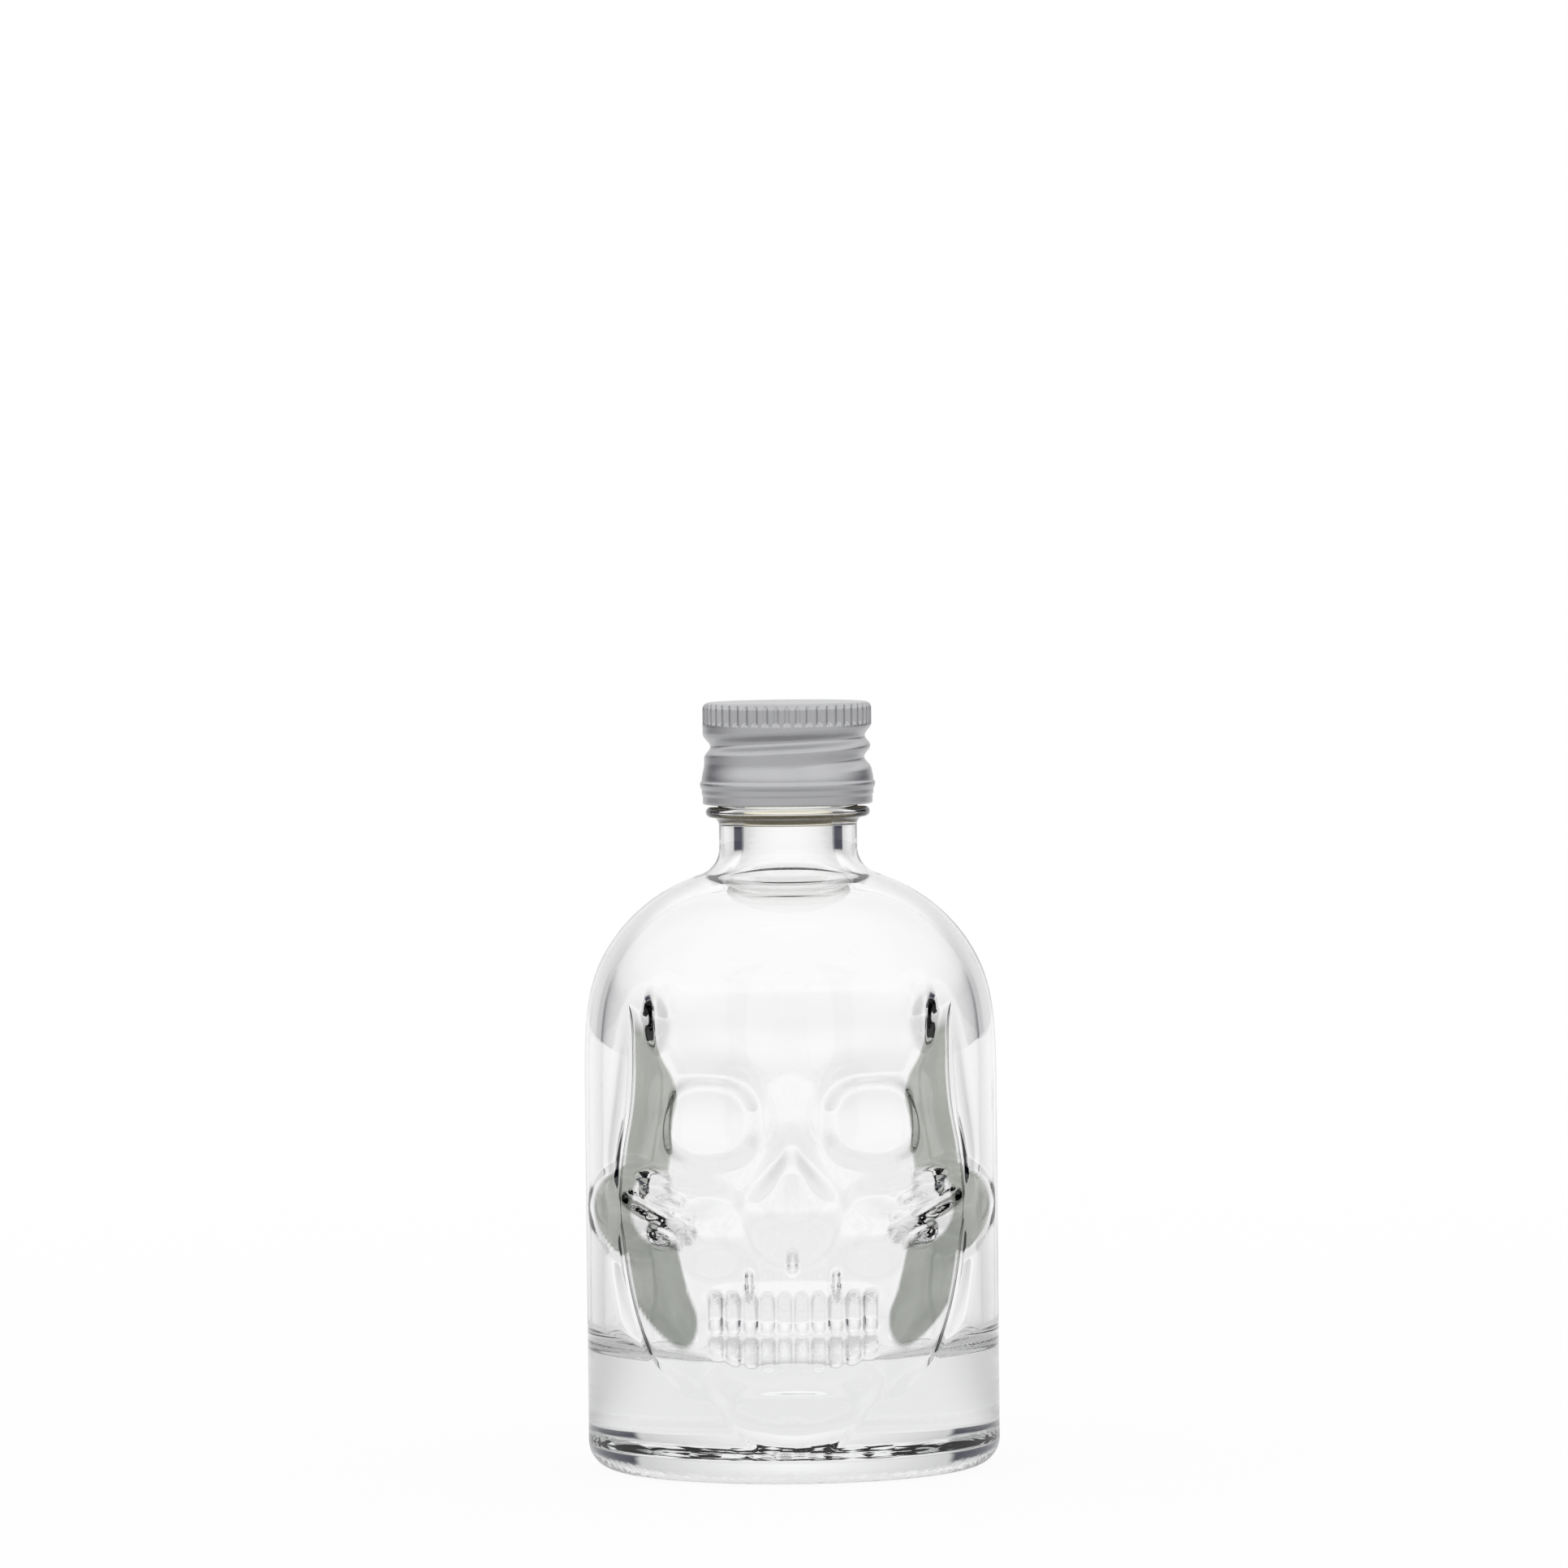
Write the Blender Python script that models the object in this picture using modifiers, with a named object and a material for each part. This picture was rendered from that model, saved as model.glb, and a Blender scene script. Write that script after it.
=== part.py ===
"""Skull bottle, 50 ml: a round glass bottle with a skull moulded into its front, and its rolled-on cap.

Metres, +Z up, the face towards -Y, the origin at the middle of the base. The glass is one closed loft that
runs from the middle of the base up the outside, over the lip and down the inside. The cap is a thin shell
lofted the same way, with its knurls and its rolled thread. Tables whose names end in shares hold numbers
without a unit: heights as shares of FACE_HEIGHT, widths and depths as shares of BODY_RADIUS.
"""

import math
from collections import namedtuple

import bpy
import numpy as np
from mathutils import Matrix

# Driving sizes of the glass body
BODY_RADIUS = 0.0222
LIP_HEIGHT = 0.0809
HEAD_HEIGHT = 0.0341
SHOULDER_RADIUS = 0.0179
BASE_CORNER_RADIUS = 0.0030
FOOT_WIDTH = 0.0040
BASE_RISE = 0.0012
WALL = 0.0018
BASE_THICKNESS = 0.0125
CAVITY_CORNER_RADIUS = 0.0030
FACE_HEIGHT_SHARE = 1.0684

# Driving sizes of the neck and its finish, from the cap that it takes
FINISH_INSET = 0.00155
FINISH_WALL = 0.00255
FINISH_HEIGHT = 0.0108
NECK_STEP = 0.0001
NECK_FILLET_RADIUS = 0.0030
BORE_FILLET_RADIUS = 0.0052
COLLAR_INSET = 0.00025
COLLAR_HEIGHT = 0.0011
COLLAR_EDGE_RADIUS = 0.0003
LIP_EDGE_RADIUS = 0.0005
THREAD_PITCH = 0.0024
THREAD_RISE = 0.0008
THREAD_HALF_WIDTH = 0.0008
THREAD_CREST_HALF_WIDTH = 0.0002
THREAD_SINK = 0.0004

# Driving sizes of the cap and its liner
CAP_RADIUS = 0.0091
CAP_WALL = 0.0003
CAP_CORNER_RADIUS = 0.0007
CAP_SKIRT_GAP = 0.0003
KNURL_COUNT = 48
KNURL_DEPTH = 0.0003
KNURL_HEIGHT = 0.0023
KNURL_RUNOUT = 0.0003
BAND_HEIGHT = 0.0006
GROOVE_CREST_INSET = 0.00014
GROOVE_DEPTH = 0.00066
BEAD_RISE = 0.00035
BEAD_HEIGHT = 0.0008
HEM_HEIGHT = 0.0017
HEM_STEP_HEIGHT = 0.0010
HEM_RISE = 0.00005
FLARE_HEIGHT = 0.0020
FLARE_RISE = 0.00016
LINER_THICKNESS = 0.00075
LINER_GAP = 0.00025
LINER_SIDE_GAP = 0.0002

# The helix of the cap's groove: its height over the lip where it passes +X, and its ends in turns
GROOVE_DROP = 0.0044
GROOVE_START_TURN = -0.25
GROOVE_END_TURN = 1.25
GROOVE_FADE_TURN = 0.18
THREAD_START_TURN = -0.95
THREAD_END_TURN = 0.72
THREAD_FADE_TURN = 0.08

# Mesh counts
FACE_STEPS = 12
BACK_STEPS = 16
CAVITY_FACE_STEPS = 9
CAVITY_BACK_STEPS = 13
NECK_STEPS = 40
CAP_STEPS = 44
ARC_STEPS = 4
FOOT_RECESS_STEPS = 3
THREAD_STEPS = 36
LINER_STEPS = 48
BODY_ROW_GAP_SHARE = 0.028
SHARP_ANGLE = math.radians(40)

# Where the face ends at the front edge of its side walls, against height
FACE_EDGE_SHARES = (
    (0.06, 0.05), (0.07, 0.08), (0.095, 0.19), (0.143, 0.27), (0.20, 0.32), (0.26, 0.37), (0.319, 0.42),
    (0.388, 0.476), (0.483, 0.535), (0.57, 0.575), (0.64, 0.585), (0.70, 0.573), (0.768, 0.562),
    (0.82, 0.54), (0.86, 0.555), (0.906, 0.61), (0.96, 0.65), (1.04, 0.70), (1.14, 0.77),
)
# Where those side walls end, at the rim of the round body beside the skull
CHANNEL_LINE_SHARES = (
    (0.07, 0.116), (0.095, 0.306), (0.143, 0.414), (0.203, 0.522), (0.268, 0.657), (0.337, 0.73),
    (0.405, 0.77), (0.49, 0.80), (0.625, 0.817), (0.70, 0.80), (0.785, 0.767), (0.92, 0.75),
    (1.0, 0.76), (1.04, 0.785), (1.14, 0.855), (1.2, 0.90),
)
# How far forward the bottom of the channel stands there, as a share of the round body
CHANNEL_DEPTH_SHARES = (
    (0.0, 1.0), (0.06, 0.998), (0.12, 0.99), (0.18, 0.975), (0.24, 0.945), (0.30, 0.89), (0.38, 0.81),
    (0.46, 0.77), (0.88, 0.77), (0.94, 0.81), (1.0, 0.92), (1.05, 0.99), (1.1, 1.0),
)
CHANNEL_RIM_SHARE = 0.012
CHIN_RIM_SHARE = 0.05
CHIN_RIM_RANGE_SHARES = (0.10, 0.36)
SLANT_STEP_SHARE = 0.01
RELIEF_TOP_SHARE = 1.22
RELIEF_FADE_SHARES = (0.99, 1.09)

# Hollows of the face, and with a negative depth its raised places
Feature = namedtuple("Feature", "across up half_width half_height power edge depth")
BROW_DIP_SHARES = Feature(0.0, 0.98, 0.585, 0.08, 2.0, 0.9, 0.022)
BROW_SHARES = Feature(0.36, 0.905, 0.32, 0.055, 2.0, 1.0, -0.04)
ORBIT_SHARES = Feature(0.325, 0.765, 0.225, 0.12, 2.3, 0.75, 0.18)
NOSE_ROOT_SHARES = Feature(0.0, 0.82, 0.16, 0.075, 2.0, 1.0, 0.045)
CHEEK_HOLLOW_SHARES = Feature(0.385, 0.52, 0.21, 0.092, 2.0, 0.9, 0.07)
CHEEKBONE_SHARES = Feature(0.50, 0.615, 0.25, 0.065, 2.0, 1.0, -0.06)
NOSE_SPINE_SHARES = Feature(0.0, 0.475, 0.04, 0.03, 2.0, 1.0, -0.05)
TOOTH_BAND_SHARES = Feature(0.0, 0.326, 0.48, 0.104, 4.0, 0.3, 0.035)
LIP_GROOVE_SHARES = Feature(0.0, 0.212, 0.42, 0.045, 2.0, 1.0, 0.03)
CHIN_SHARES = Feature(0.0, 0.14, 0.40, 0.075, 2.4, 1.0, -0.04)
FEATURE_SHARES = (
    BROW_DIP_SHARES, BROW_SHARES, ORBIT_SHARES, NOSE_ROOT_SHARES, CHEEK_HOLLOW_SHARES, CHEEKBONE_SHARES,
    NOSE_SPINE_SHARES, TOOTH_BAND_SHARES, LIP_GROOVE_SHARES, CHIN_SHARES,
)
# Pits at the temple, and above and below the cheekbone arch
PIT_SHARES = (
    Feature(0.655, 0.975, 0.075, 0.10, 1.6, 1.0, 0.09),
    Feature(0.655, 0.63, 0.085, 0.045, 2.4, 0.7, 0.10),
    Feature(0.60, 0.53, 0.11, 0.035, 2.4, 0.7, 0.10),
)
LOWER_FACE_DEPTH_SHARE = 0.055
LOWER_FACE_RANGE_SHARES = (0.05, 0.13, 0.60, 0.88)

# The nasal opening: half widths against height, its depth and how softly it ends
NOSE_WIDTH_SHARES = (
    (0.46, 0.10), (0.52, 0.175), (0.58, 0.20), (0.62, 0.17), (0.66, 0.11), (0.70, 0.05), (0.74, 0.03),
)
NOSE_DEPTH_SHARE = 0.11
NOSE_EDGE_SHARES = (0.35, 1.2)
NOSE_RANGE_SHARES = (0.50, 0.56, 0.68, 0.72)

# The cheekbone arch that reaches out nearly to the round body
ARCH_ACROSS_SHARE = 0.63
ARCH_UP_SHARE = 0.572
ARCH_HALF_WIDTH_SHARE = 0.347
ARCH_HALF_HEIGHT_SHARE = 0.098
ARCH_FOOT_SHARE = 0.135
ARCH_RISE_SHARE = 0.518
ARCH_FALL_SHARE = 1.8

# The jaw's ridge, from the chin up to its angle
JAW_LINE_SHARES = ((0.08, 0.18), (0.16, 0.405), (0.24, 0.55), (0.32, 0.62), (0.40, 0.65), (0.52, 0.665))
JAW_DEPTH_SHARE = 0.55
JAW_SLOPE_SHARE = 5.9
JAW_POWER = 1.5
JAW_LOW_DROP_SHARE = 0.45
JAW_HIGH_DROP_SHARE = 0.54
JAW_RANGE_SHARES = (0.10, 0.18, 0.40, 0.54)

# The teeth: upper and lower row as bottom, top and crown height, then a row's half width and a crown's form
TOOTH_ROW_SHARES = ((0.322, 0.408, 0.050), (0.238, 0.314, 0.045))
TEETH_PER_SIDE = 5
TEETH_HALF_WIDTH_SHARE = 0.41
TOOTH_CROWN_POWER = 3.0
TOOTH_FORM_POWER = 2.4
TOOTH_ROW_FLAT_SHARE = 0.55

# How softly the forms run into each other, and how much of the fine ones shows inside the cavity
FACE_BLEND_SHARE = 0.054
ARCH_BLEND_SHARE = 0.04
CHANNEL_BLEND_SHARE = 0.036
CAVITY_FINE_SHARE = 0.55
CAVITY_FACE_INSET_SHARE = 0.045
# Offsets of the ball, as thick as the wall, that is rolled along the outside to find the cavity
BALL_SHARES = (-1, -0.8, -0.5, -0.25, 0, 0.25, 0.5, 0.8, 1)

# How far the mesh columns keep apart low down, and their places between face edge, rim and widest point
COLUMN_EDGE_SHARES = (0.52, 0.84)
COLUMN_FOOT_SHARES = (0.70, 0.92)
SIDE_COLUMN_SHARES = (0.33, 0.67, 1.0)
ROUND_COLUMN_SHARES = (0, 0.33, 0.67)
CAVITY_SIDE_COLUMN_SHARES = (0.5, 1.0)
CAVITY_ROUND_COLUMN_SHARES = (0, 0.5)

# Looks
GLASS_COLOUR = (0.90, 0.92, 0.91, 1.0)
ALUMINIUM_COLOUR = (0.62, 0.62, 0.64, 1.0)
LINER_COLOUR = (0.86, 0.86, 0.84, 1.0)
GLASS_IOR = 1.52
GLASS_ROUGHNESS = 0.02
ALUMINIUM_ROUGHNESS = 0.38
LINER_ROUGHNESS = 0.8

# Sizes that follow from the ones above
SIDE_TOP = LIP_HEIGHT - HEAD_HEIGHT
FACE_HEIGHT = SIDE_TOP * FACE_HEIGHT_SHARE
FINISH_RADIUS = CAP_RADIUS - FINISH_INSET
NECK_RADIUS = FINISH_RADIUS - NECK_STEP
BORE_RADIUS = FINISH_RADIUS - FINISH_WALL
COLLAR_RADIUS = CAP_RADIUS - COLLAR_INSET
COLLAR_BOTTOM = LIP_HEIGHT - FINISH_HEIGHT
THREAD_CREST_RADIUS = FINISH_RADIUS + THREAD_RISE
GROOVE_CREST_RADIUS = CAP_RADIUS - GROOVE_CREST_INSET
BEAD_RADIUS = CAP_RADIUS + BEAD_RISE
FLARE_RADIUS = CAP_RADIUS + FLARE_RISE
HEM_RADIUS = CAP_RADIUS + HEM_RISE
COLLAR_FILLET_RADIUS = COLLAR_RADIUS - COLLAR_EDGE_RADIUS - NECK_RADIUS
LINER_RADIUS = CAP_RADIUS - KNURL_DEPTH - CAP_WALL - LINER_SIDE_GAP
HEM_BOTTOM = COLLAR_BOTTOM + COLLAR_HEIGHT + CAP_SKIRT_GAP
LINER_BOTTOM = LIP_HEIGHT + LINER_GAP
CAP_INSIDE_TOP = LINER_BOTTOM + LINER_THICKNESS + LINER_GAP
CAP_TOP = CAP_INSIDE_TOP + CAP_WALL
KNURL_TOP = CAP_TOP - CAP_CORNER_RADIUS / 2
KNURL_BOTTOM = KNURL_TOP - KNURL_HEIGHT
GROOVE_HEIGHT = LIP_HEIGHT - GROOVE_DROP
BEAD_BOTTOM = HEM_BOTTOM + HEM_HEIGHT
HEM_STEP = HEM_BOTTOM + HEM_STEP_HEIGHT
BEAD_TOP = BEAD_BOTTOM + BEAD_HEIGHT
CAVITY_RADIUS = BODY_RADIUS - WALL
CAVITY_SHOULDER_RADIUS = SHOULDER_RADIUS - WALL
FOOT_RADIUS = BODY_RADIUS - BASE_CORNER_RADIUS


def ramp(value, low, high):
    """0 up to low, 1 from high on, with a smooth rise between."""
    t = np.clip((value - low) / (high - low), 0, 1)
    return t * t * (3 - 2 * t)


def soft_least(a, b, width):
    """The smaller of two depths, with the step between them rounded over width."""
    t = np.clip((1 + (b - a) / width) / 2, 0, 1)
    return b * (1 - t) + a * t - width * t * (1 - t)


def soft_most(a, b, width):
    return -soft_least(-a, -b, width)


def curve_at(table, place):
    """A smooth curve through a table of places and values, held level past its ends."""
    places = np.array([row[0] for row in table])
    values = np.array([row[1] for row in table])
    slopes = np.gradient(values, places)
    place = np.clip(place, places[0], places[-1])
    i = np.clip(np.searchsorted(places, place) - 1, 0, len(places) - 2)
    span = places[i + 1] - places[i]
    t = (place - places[i]) / span
    rise = t * t * (3 - 2 * t)
    start = t * (1 - t) ** 2
    end = t * t * (t - 1)
    return values[i] * (1 - rise) + values[i + 1] * rise + span * (slopes[i] * start + slopes[i + 1] * end)


def swell(across, up, feature):
    """1 in the middle of a superellipse, falling to 0 over the outer share of it that edge gives."""
    side = np.abs((across - feature.across) / feature.half_width) ** feature.power
    height = np.abs((up - feature.up) / feature.half_height) ** feature.power
    reach = (side + height) ** (1 / feature.power)
    return 1 - ramp(reach, 1 - feature.edge, 1)


def nose(across, up):
    low_start, low_end, high_start, high_end = NOSE_RANGE_SHARES
    reach = across / curve_at(NOSE_WIDTH_SHARES, up)
    open_part = ramp(up, low_start, low_end) * (1 - ramp(up, high_start, high_end))
    return NOSE_DEPTH_SHARE * (1 - ramp(reach, *NOSE_EDGE_SHARES)) * open_part


def teeth(across, up):
    """How far the tooth crowns stand out of their band."""
    crowns = np.zeros_like(across)
    width = TEETH_HALF_WIDTH_SHARE / TEETH_PER_SIDE
    for bottom, top, rise in TOOTH_ROW_SHARES:
        middle = (bottom + top) / 2
        height = np.abs(up - middle) / (top - bottom) * 2
        for tooth in range(TEETH_PER_SIDE):
            side = np.abs(across - width * (tooth + 1 / 2)) / width * 2
            reach = (side**TOOTH_CROWN_POWER + height**TOOTH_CROWN_POWER) ** (1 / TOOTH_CROWN_POWER)
            crowns = np.maximum(crowns, rise * np.sqrt(1 - np.clip(reach, 0, 1) ** TOOTH_FORM_POWER))
    return crowns


def arch(across, up):
    """The cheekbone arch as half an ellipsoid that stands on the channel's floor."""
    side = (across - ARCH_ACROSS_SHARE) / ARCH_HALF_WIDTH_SHARE
    height = (up - ARCH_UP_SHARE) / ARCH_HALF_HEIGHT_SHARE
    inside = 1 - side**2 - height**2
    dome = ARCH_RISE_SHARE * np.sqrt(np.clip(inside, 0, None))
    return ARCH_FOOT_SHARE + dome - ARCH_FALL_SHARE * np.clip(-inside, 0, None)


def jaw(across, up):
    low_start, low_end, high_start, high_end = JAW_RANGE_SHARES
    ridge = JAW_DEPTH_SHARE - JAW_SLOPE_SHARE * np.abs(across - curve_at(JAW_LINE_SHARES, up)) ** JAW_POWER
    low_drop = JAW_LOW_DROP_SHARE * (1 - ramp(up, low_start, low_end))
    return ridge - low_drop - JAW_HIGH_DROP_SHARE * ramp(up, high_start, high_end)


def half_chord(radius, across):
    return np.sqrt(np.clip(radius**2 - across**2, 0, None))


def side_wall(across, up):
    """The skull's side walls: straight lines that run back from the face's edge to the channel's bottom."""
    edge = curve_at(FACE_EDGE_SHARES, up)
    foot = curve_at(CHANNEL_LINE_SHARES, up)
    front = half_chord(1, edge)
    back = half_chord(1, foot) * curve_at(CHANNEL_DEPTH_SHARES, up)
    return front + (edge - across) * (front - back) / (foot - edge)


def channel_rim(up):
    """Width across of the rim: the same width at right angles to its line, however the line slants."""
    above = curve_at(CHANNEL_LINE_SHARES, up + SLANT_STEP_SHARE)
    below = curve_at(CHANNEL_LINE_SHARES, up - SLANT_STEP_SHARE)
    slant = (above - below) / (2 * SLANT_STEP_SHARE) * BODY_RADIUS / FACE_HEIGHT
    width = CHANNEL_RIM_SHARE + CHIN_RIM_SHARE * (1 - ramp(up, *CHIN_RIM_RANGE_SHARES))
    return width * np.sqrt(1 + slant**2)


def channel_share(across, up):
    """What is left of the round body's depth: the channel's share inside its line, all of it past the rim."""
    foot = curve_at(CHANNEL_LINE_SHARES, up)
    floor = curve_at(CHANNEL_DEPTH_SHARES, up)
    return floor + (1 - floor) * ramp(across, foot, foot + channel_rim(up))


def face_hollows(across, up, fine):
    """How deep the face lies under the round body before its side walls are cut. The cavity lies deeper."""
    low_start, low_end, high_start, high_end = LOWER_FACE_RANGE_SHARES
    hollows = LOWER_FACE_DEPTH_SHARE * (1 - ramp(up, high_start, high_end)) * ramp(up, low_start, low_end)
    hollows = hollows + nose(across, up) * fine + CAVITY_FACE_INSET_SHARE * (fine != 1)
    for feature in FEATURE_SHARES:
        hollows = hollows + feature.depth * swell(across, up, feature) * fine
    return hollows


def relief(across, up, size, fine):
    """Depth forward of the axis, in body radii. fine is 1 for the outside and less for the cavity."""
    round_body = half_chord(size, across)
    crowns = teeth(across, up) * (fine == 1)
    past = ramp(across, curve_at(FACE_EDGE_SHARES, up), curve_at(CHANNEL_LINE_SHARES, up))
    face = half_chord(1, across) - face_hollows(across, up, fine) * (1 - past)
    face = np.minimum(face, round_body) + crowns + 2 * FACE_BLEND_SHARE * past
    channel = round_body * channel_share(across, up)
    wall = np.maximum(soft_most(channel, side_wall(across, up), CHANNEL_BLEND_SHARE), channel)
    depth = soft_least(wall, face, FACE_BLEND_SHARE)
    depth = soft_most(depth, jaw(across, up), FACE_BLEND_SHARE)
    depth = soft_most(depth, arch(across, up), ARCH_BLEND_SHARE)
    for pit in PIT_SHARES:
        depth = depth - pit.depth * swell(across, up, pit) * fine**2
    cut = np.maximum(round_body - depth, 0) * (1 - ramp(up, *RELIEF_FADE_SHARES))
    return round_body - cut


def outer_depth(x, z, radius):
    """How far forward of the axis the glass stands at x and z, where the round body's radius is radius."""
    return relief(np.abs(x) / BODY_RADIUS, z / FACE_HEIGHT, radius / BODY_RADIUS, 1) * BODY_RADIUS


def inner_depth(x, z, radius):
    """The same for the cavity: what is left when a ball as thick as the wall rolls along the outside."""
    depth = half_chord(radius, x)
    for rise in BALL_SHARES:
        height = z + rise * WALL
        size = turned_radius(height, BODY_RADIUS, SHOULDER_RADIUS) / BODY_RADIUS
        for side in BALL_SHARES:
            left = 1 - side**2 - rise**2
            if left < 0:
                continue
            across = np.abs(np.abs(x) + side * WALL) / BODY_RADIUS
            outside = relief(across, height / FACE_HEIGHT, size, CAVITY_FINE_SHARE) * BODY_RADIUS
            depth = np.minimum(depth, outside - WALL * math.sqrt(left))
    return np.clip(depth, 0, None)


def columns(z, radius, face_steps, side_shares, round_shares, inset):
    """Places across the front at one height, from the middle out: on the face, its side wall and past it."""
    up = z / FACE_HEIGHT
    edge = curve_at(FACE_EDGE_SHARES, up) * BODY_RADIUS - inset
    foot = curve_at(CHANNEL_LINE_SHARES, up) * BODY_RADIUS - inset
    edge = np.clip(edge, COLUMN_EDGE_SHARES[0] * radius, COLUMN_EDGE_SHARES[1] * radius)
    foot = np.clip(foot, COLUMN_FOOT_SHARES[0] * radius, COLUMN_FOOT_SHARES[1] * radius)
    face = [edge * step / face_steps for step in range(face_steps + 1)]
    side = [edge + (foot - edge) * share for share in side_shares]
    start = math.asin(min(foot + channel_rim(up) * BODY_RADIUS, (foot + radius) / 2) / radius)
    past = [radius * math.sin(start + (math.pi / 2 - start) * share) for share in round_shares]
    return face + side + past


def tooth_columns(places, z):
    """Moves the columns over the teeth onto the middles and the gaps of the teeth."""
    up = z / FACE_HEIGHT
    low = TOOTH_ROW_SHARES[1][0]
    high = TOOTH_ROW_SHARES[0][1]
    near = TOOTH_BAND_SHARES.half_height / 2
    pull = float(ramp(up, low - near, low) * (1 - ramp(up, high, high + near)))
    moved = list(places)
    half_tooth = TEETH_HALF_WIDTH_SHARE * BODY_RADIUS / TEETH_PER_SIDE / 2
    for step in range(TEETH_PER_SIDE * 2 + 1):
        moved[step] = places[step] + (half_tooth * step - places[step]) * pull
    last = TEETH_PER_SIDE * 2
    for step in range(last + 1, FACE_STEPS):
        share = (step - last) / (FACE_STEPS - last)
        moved[step] = moved[last] + (places[FACE_STEPS] - moved[last]) * share
    return moved


def front_ring(z, radius, places, back_steps, depth):
    """One closed ring: from +X round the back to -X, then across the front at the depths that depth gives."""
    turn = np.linspace(0, math.pi, back_steps + 1)
    back = np.stack([radius * np.cos(turn), radius * np.sin(turn)], axis=1)
    across = np.array([-place for place in reversed(places[1:])] + list(places))
    front = np.stack([across, -depth(across, z, radius)], axis=1)
    ring = np.concatenate([back, front])
    return np.column_stack([ring, np.full(len(ring), z)])


def round_ring(z, radius, steps):
    turn = np.arange(steps) * math.tau / steps
    return np.column_stack([radius * np.cos(turn), radius * np.sin(turn), np.full(steps, z)])


def arc(centre, radius, start, end, steps):
    """Points of an arc in the plane of radius and height, with its ends, from start to end in degrees."""
    turn = np.radians(np.linspace(start, end, steps + 1))
    return [(centre[0] + radius * math.cos(t), centre[1] + radius * math.sin(t)) for t in turn]


def turned_radius(z, radius, shoulder_radius):
    """The radius of the round body, or of its cavity, on the straight side and up the shoulder."""
    centre = radius - shoulder_radius
    rise = max(z - SIDE_TOP, 0)
    return centre + math.sqrt(max(shoulder_radius**2 - rise**2, 0))


def neck_joint(shoulder_radius, centre_radius, neck_radius, fillet):
    """The fillet between a shoulder and a neck: its centre, and its angle where it leaves the shoulder."""
    across = neck_radius + fillet - centre_radius
    rise = math.sqrt((shoulder_radius + fillet) ** 2 - across**2)
    return (neck_radius + fillet, SIDE_TOP + rise), math.degrees(math.atan2(rise, across))


def spread(low, high, gap):
    """Heights from low to high, evenly apart and no further apart than gap, without the two ends."""
    count = max(math.ceil((high - low) / gap), 1)
    return [low + (high - low) * step / count for step in range(1, count)]


def body_heights(low, high):
    """Heights of the rings over the face, closer together where the teeth are."""
    bottom = TOOTH_ROW_SHARES[1][0] * FACE_HEIGHT
    top = TOOTH_ROW_SHARES[0][1] * FACE_HEIGHT
    marks = []
    for row_bottom, row_top, _ in reversed(TOOTH_ROW_SHARES):
        middle = (row_bottom + row_top) / 2
        half = (row_top - row_bottom) / 2
        places = (-1, -TOOTH_ROW_FLAT_SHARE, 0, TOOTH_ROW_FLAT_SHARE, 1)
        marks += [(middle + half * place) * FACE_HEIGHT for place in places]
    gap = BODY_ROW_GAP_SHARE * FACE_HEIGHT
    return spread(low, bottom, gap) + marks + spread(top, high, gap) + [high]


def foot_rings():
    """The shallow hollow under the base, from near its middle out to the flat foot."""
    edge = FOOT_RADIUS - FOOT_WIDTH
    rings = []
    for step in range(1, FOOT_RECESS_STEPS + 1):
        turn = math.pi / 2 * step / FOOT_RECESS_STEPS
        height = BASE_RISE * math.cos(turn) * (step < FOOT_RECESS_STEPS)
        rings.append(round_ring(height, edge * math.sin(turn), NECK_STEPS))
    return rings


def outside_rings():
    """Rings of the glass from the foot up to the lip's outer edge."""
    centre_radius = BODY_RADIUS - SHOULDER_RADIUS
    fillet_radius = NECK_FILLET_RADIUS
    fillet, fillet_angle = neck_joint(SHOULDER_RADIUS, centre_radius, NECK_RADIUS, fillet_radius)
    relief_top = RELIEF_TOP_SHARE * FACE_HEIGHT
    rows = arc((FOOT_RADIUS, BASE_CORNER_RADIUS), BASE_CORNER_RADIUS, -90, 0, ARC_STEPS)
    heights = body_heights(BASE_CORNER_RADIUS, relief_top)
    rows += [(turned_radius(z, BODY_RADIUS, SHOULDER_RADIUS), z) for z in heights]
    start = math.degrees(math.asin(min((relief_top - SIDE_TOP) / SHOULDER_RADIUS, 1)))
    shoulder = arc((centre_radius, SIDE_TOP), SHOULDER_RADIUS, start, fillet_angle, ARC_STEPS)[1:]
    rings = []
    for radius, z in rows + shoulder:
        places = columns(z, radius, FACE_STEPS, SIDE_COLUMN_SHARES, ROUND_COLUMN_SHARES, 0)
        rings.append(front_ring(z, radius, tooth_columns(places, z), BACK_STEPS, outer_depth))
    collar_top = COLLAR_BOTTOM + COLLAR_HEIGHT
    collar_centre = COLLAR_RADIUS - COLLAR_EDGE_RADIUS
    turned = arc(fillet, fillet_radius, fillet_angle + 180, 180, ARC_STEPS)[1:]
    under = (NECK_RADIUS + COLLAR_FILLET_RADIUS, COLLAR_BOTTOM - COLLAR_FILLET_RADIUS)
    turned += arc(under, COLLAR_FILLET_RADIUS, 180, 90, 3)
    turned += arc((collar_centre, COLLAR_BOTTOM + COLLAR_EDGE_RADIUS), COLLAR_EDGE_RADIUS, -90, 0, 2)[1:]
    turned += arc((collar_centre, collar_top - COLLAR_EDGE_RADIUS), COLLAR_EDGE_RADIUS, 0, 90, 2)
    turned += [(FINISH_RADIUS, collar_top)]
    turned += arc((FINISH_RADIUS - LIP_EDGE_RADIUS, LIP_HEIGHT - LIP_EDGE_RADIUS), LIP_EDGE_RADIUS, 0, 90, 3)
    return rings + [round_ring(z, radius, NECK_STEPS) for radius, z in turned]


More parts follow.
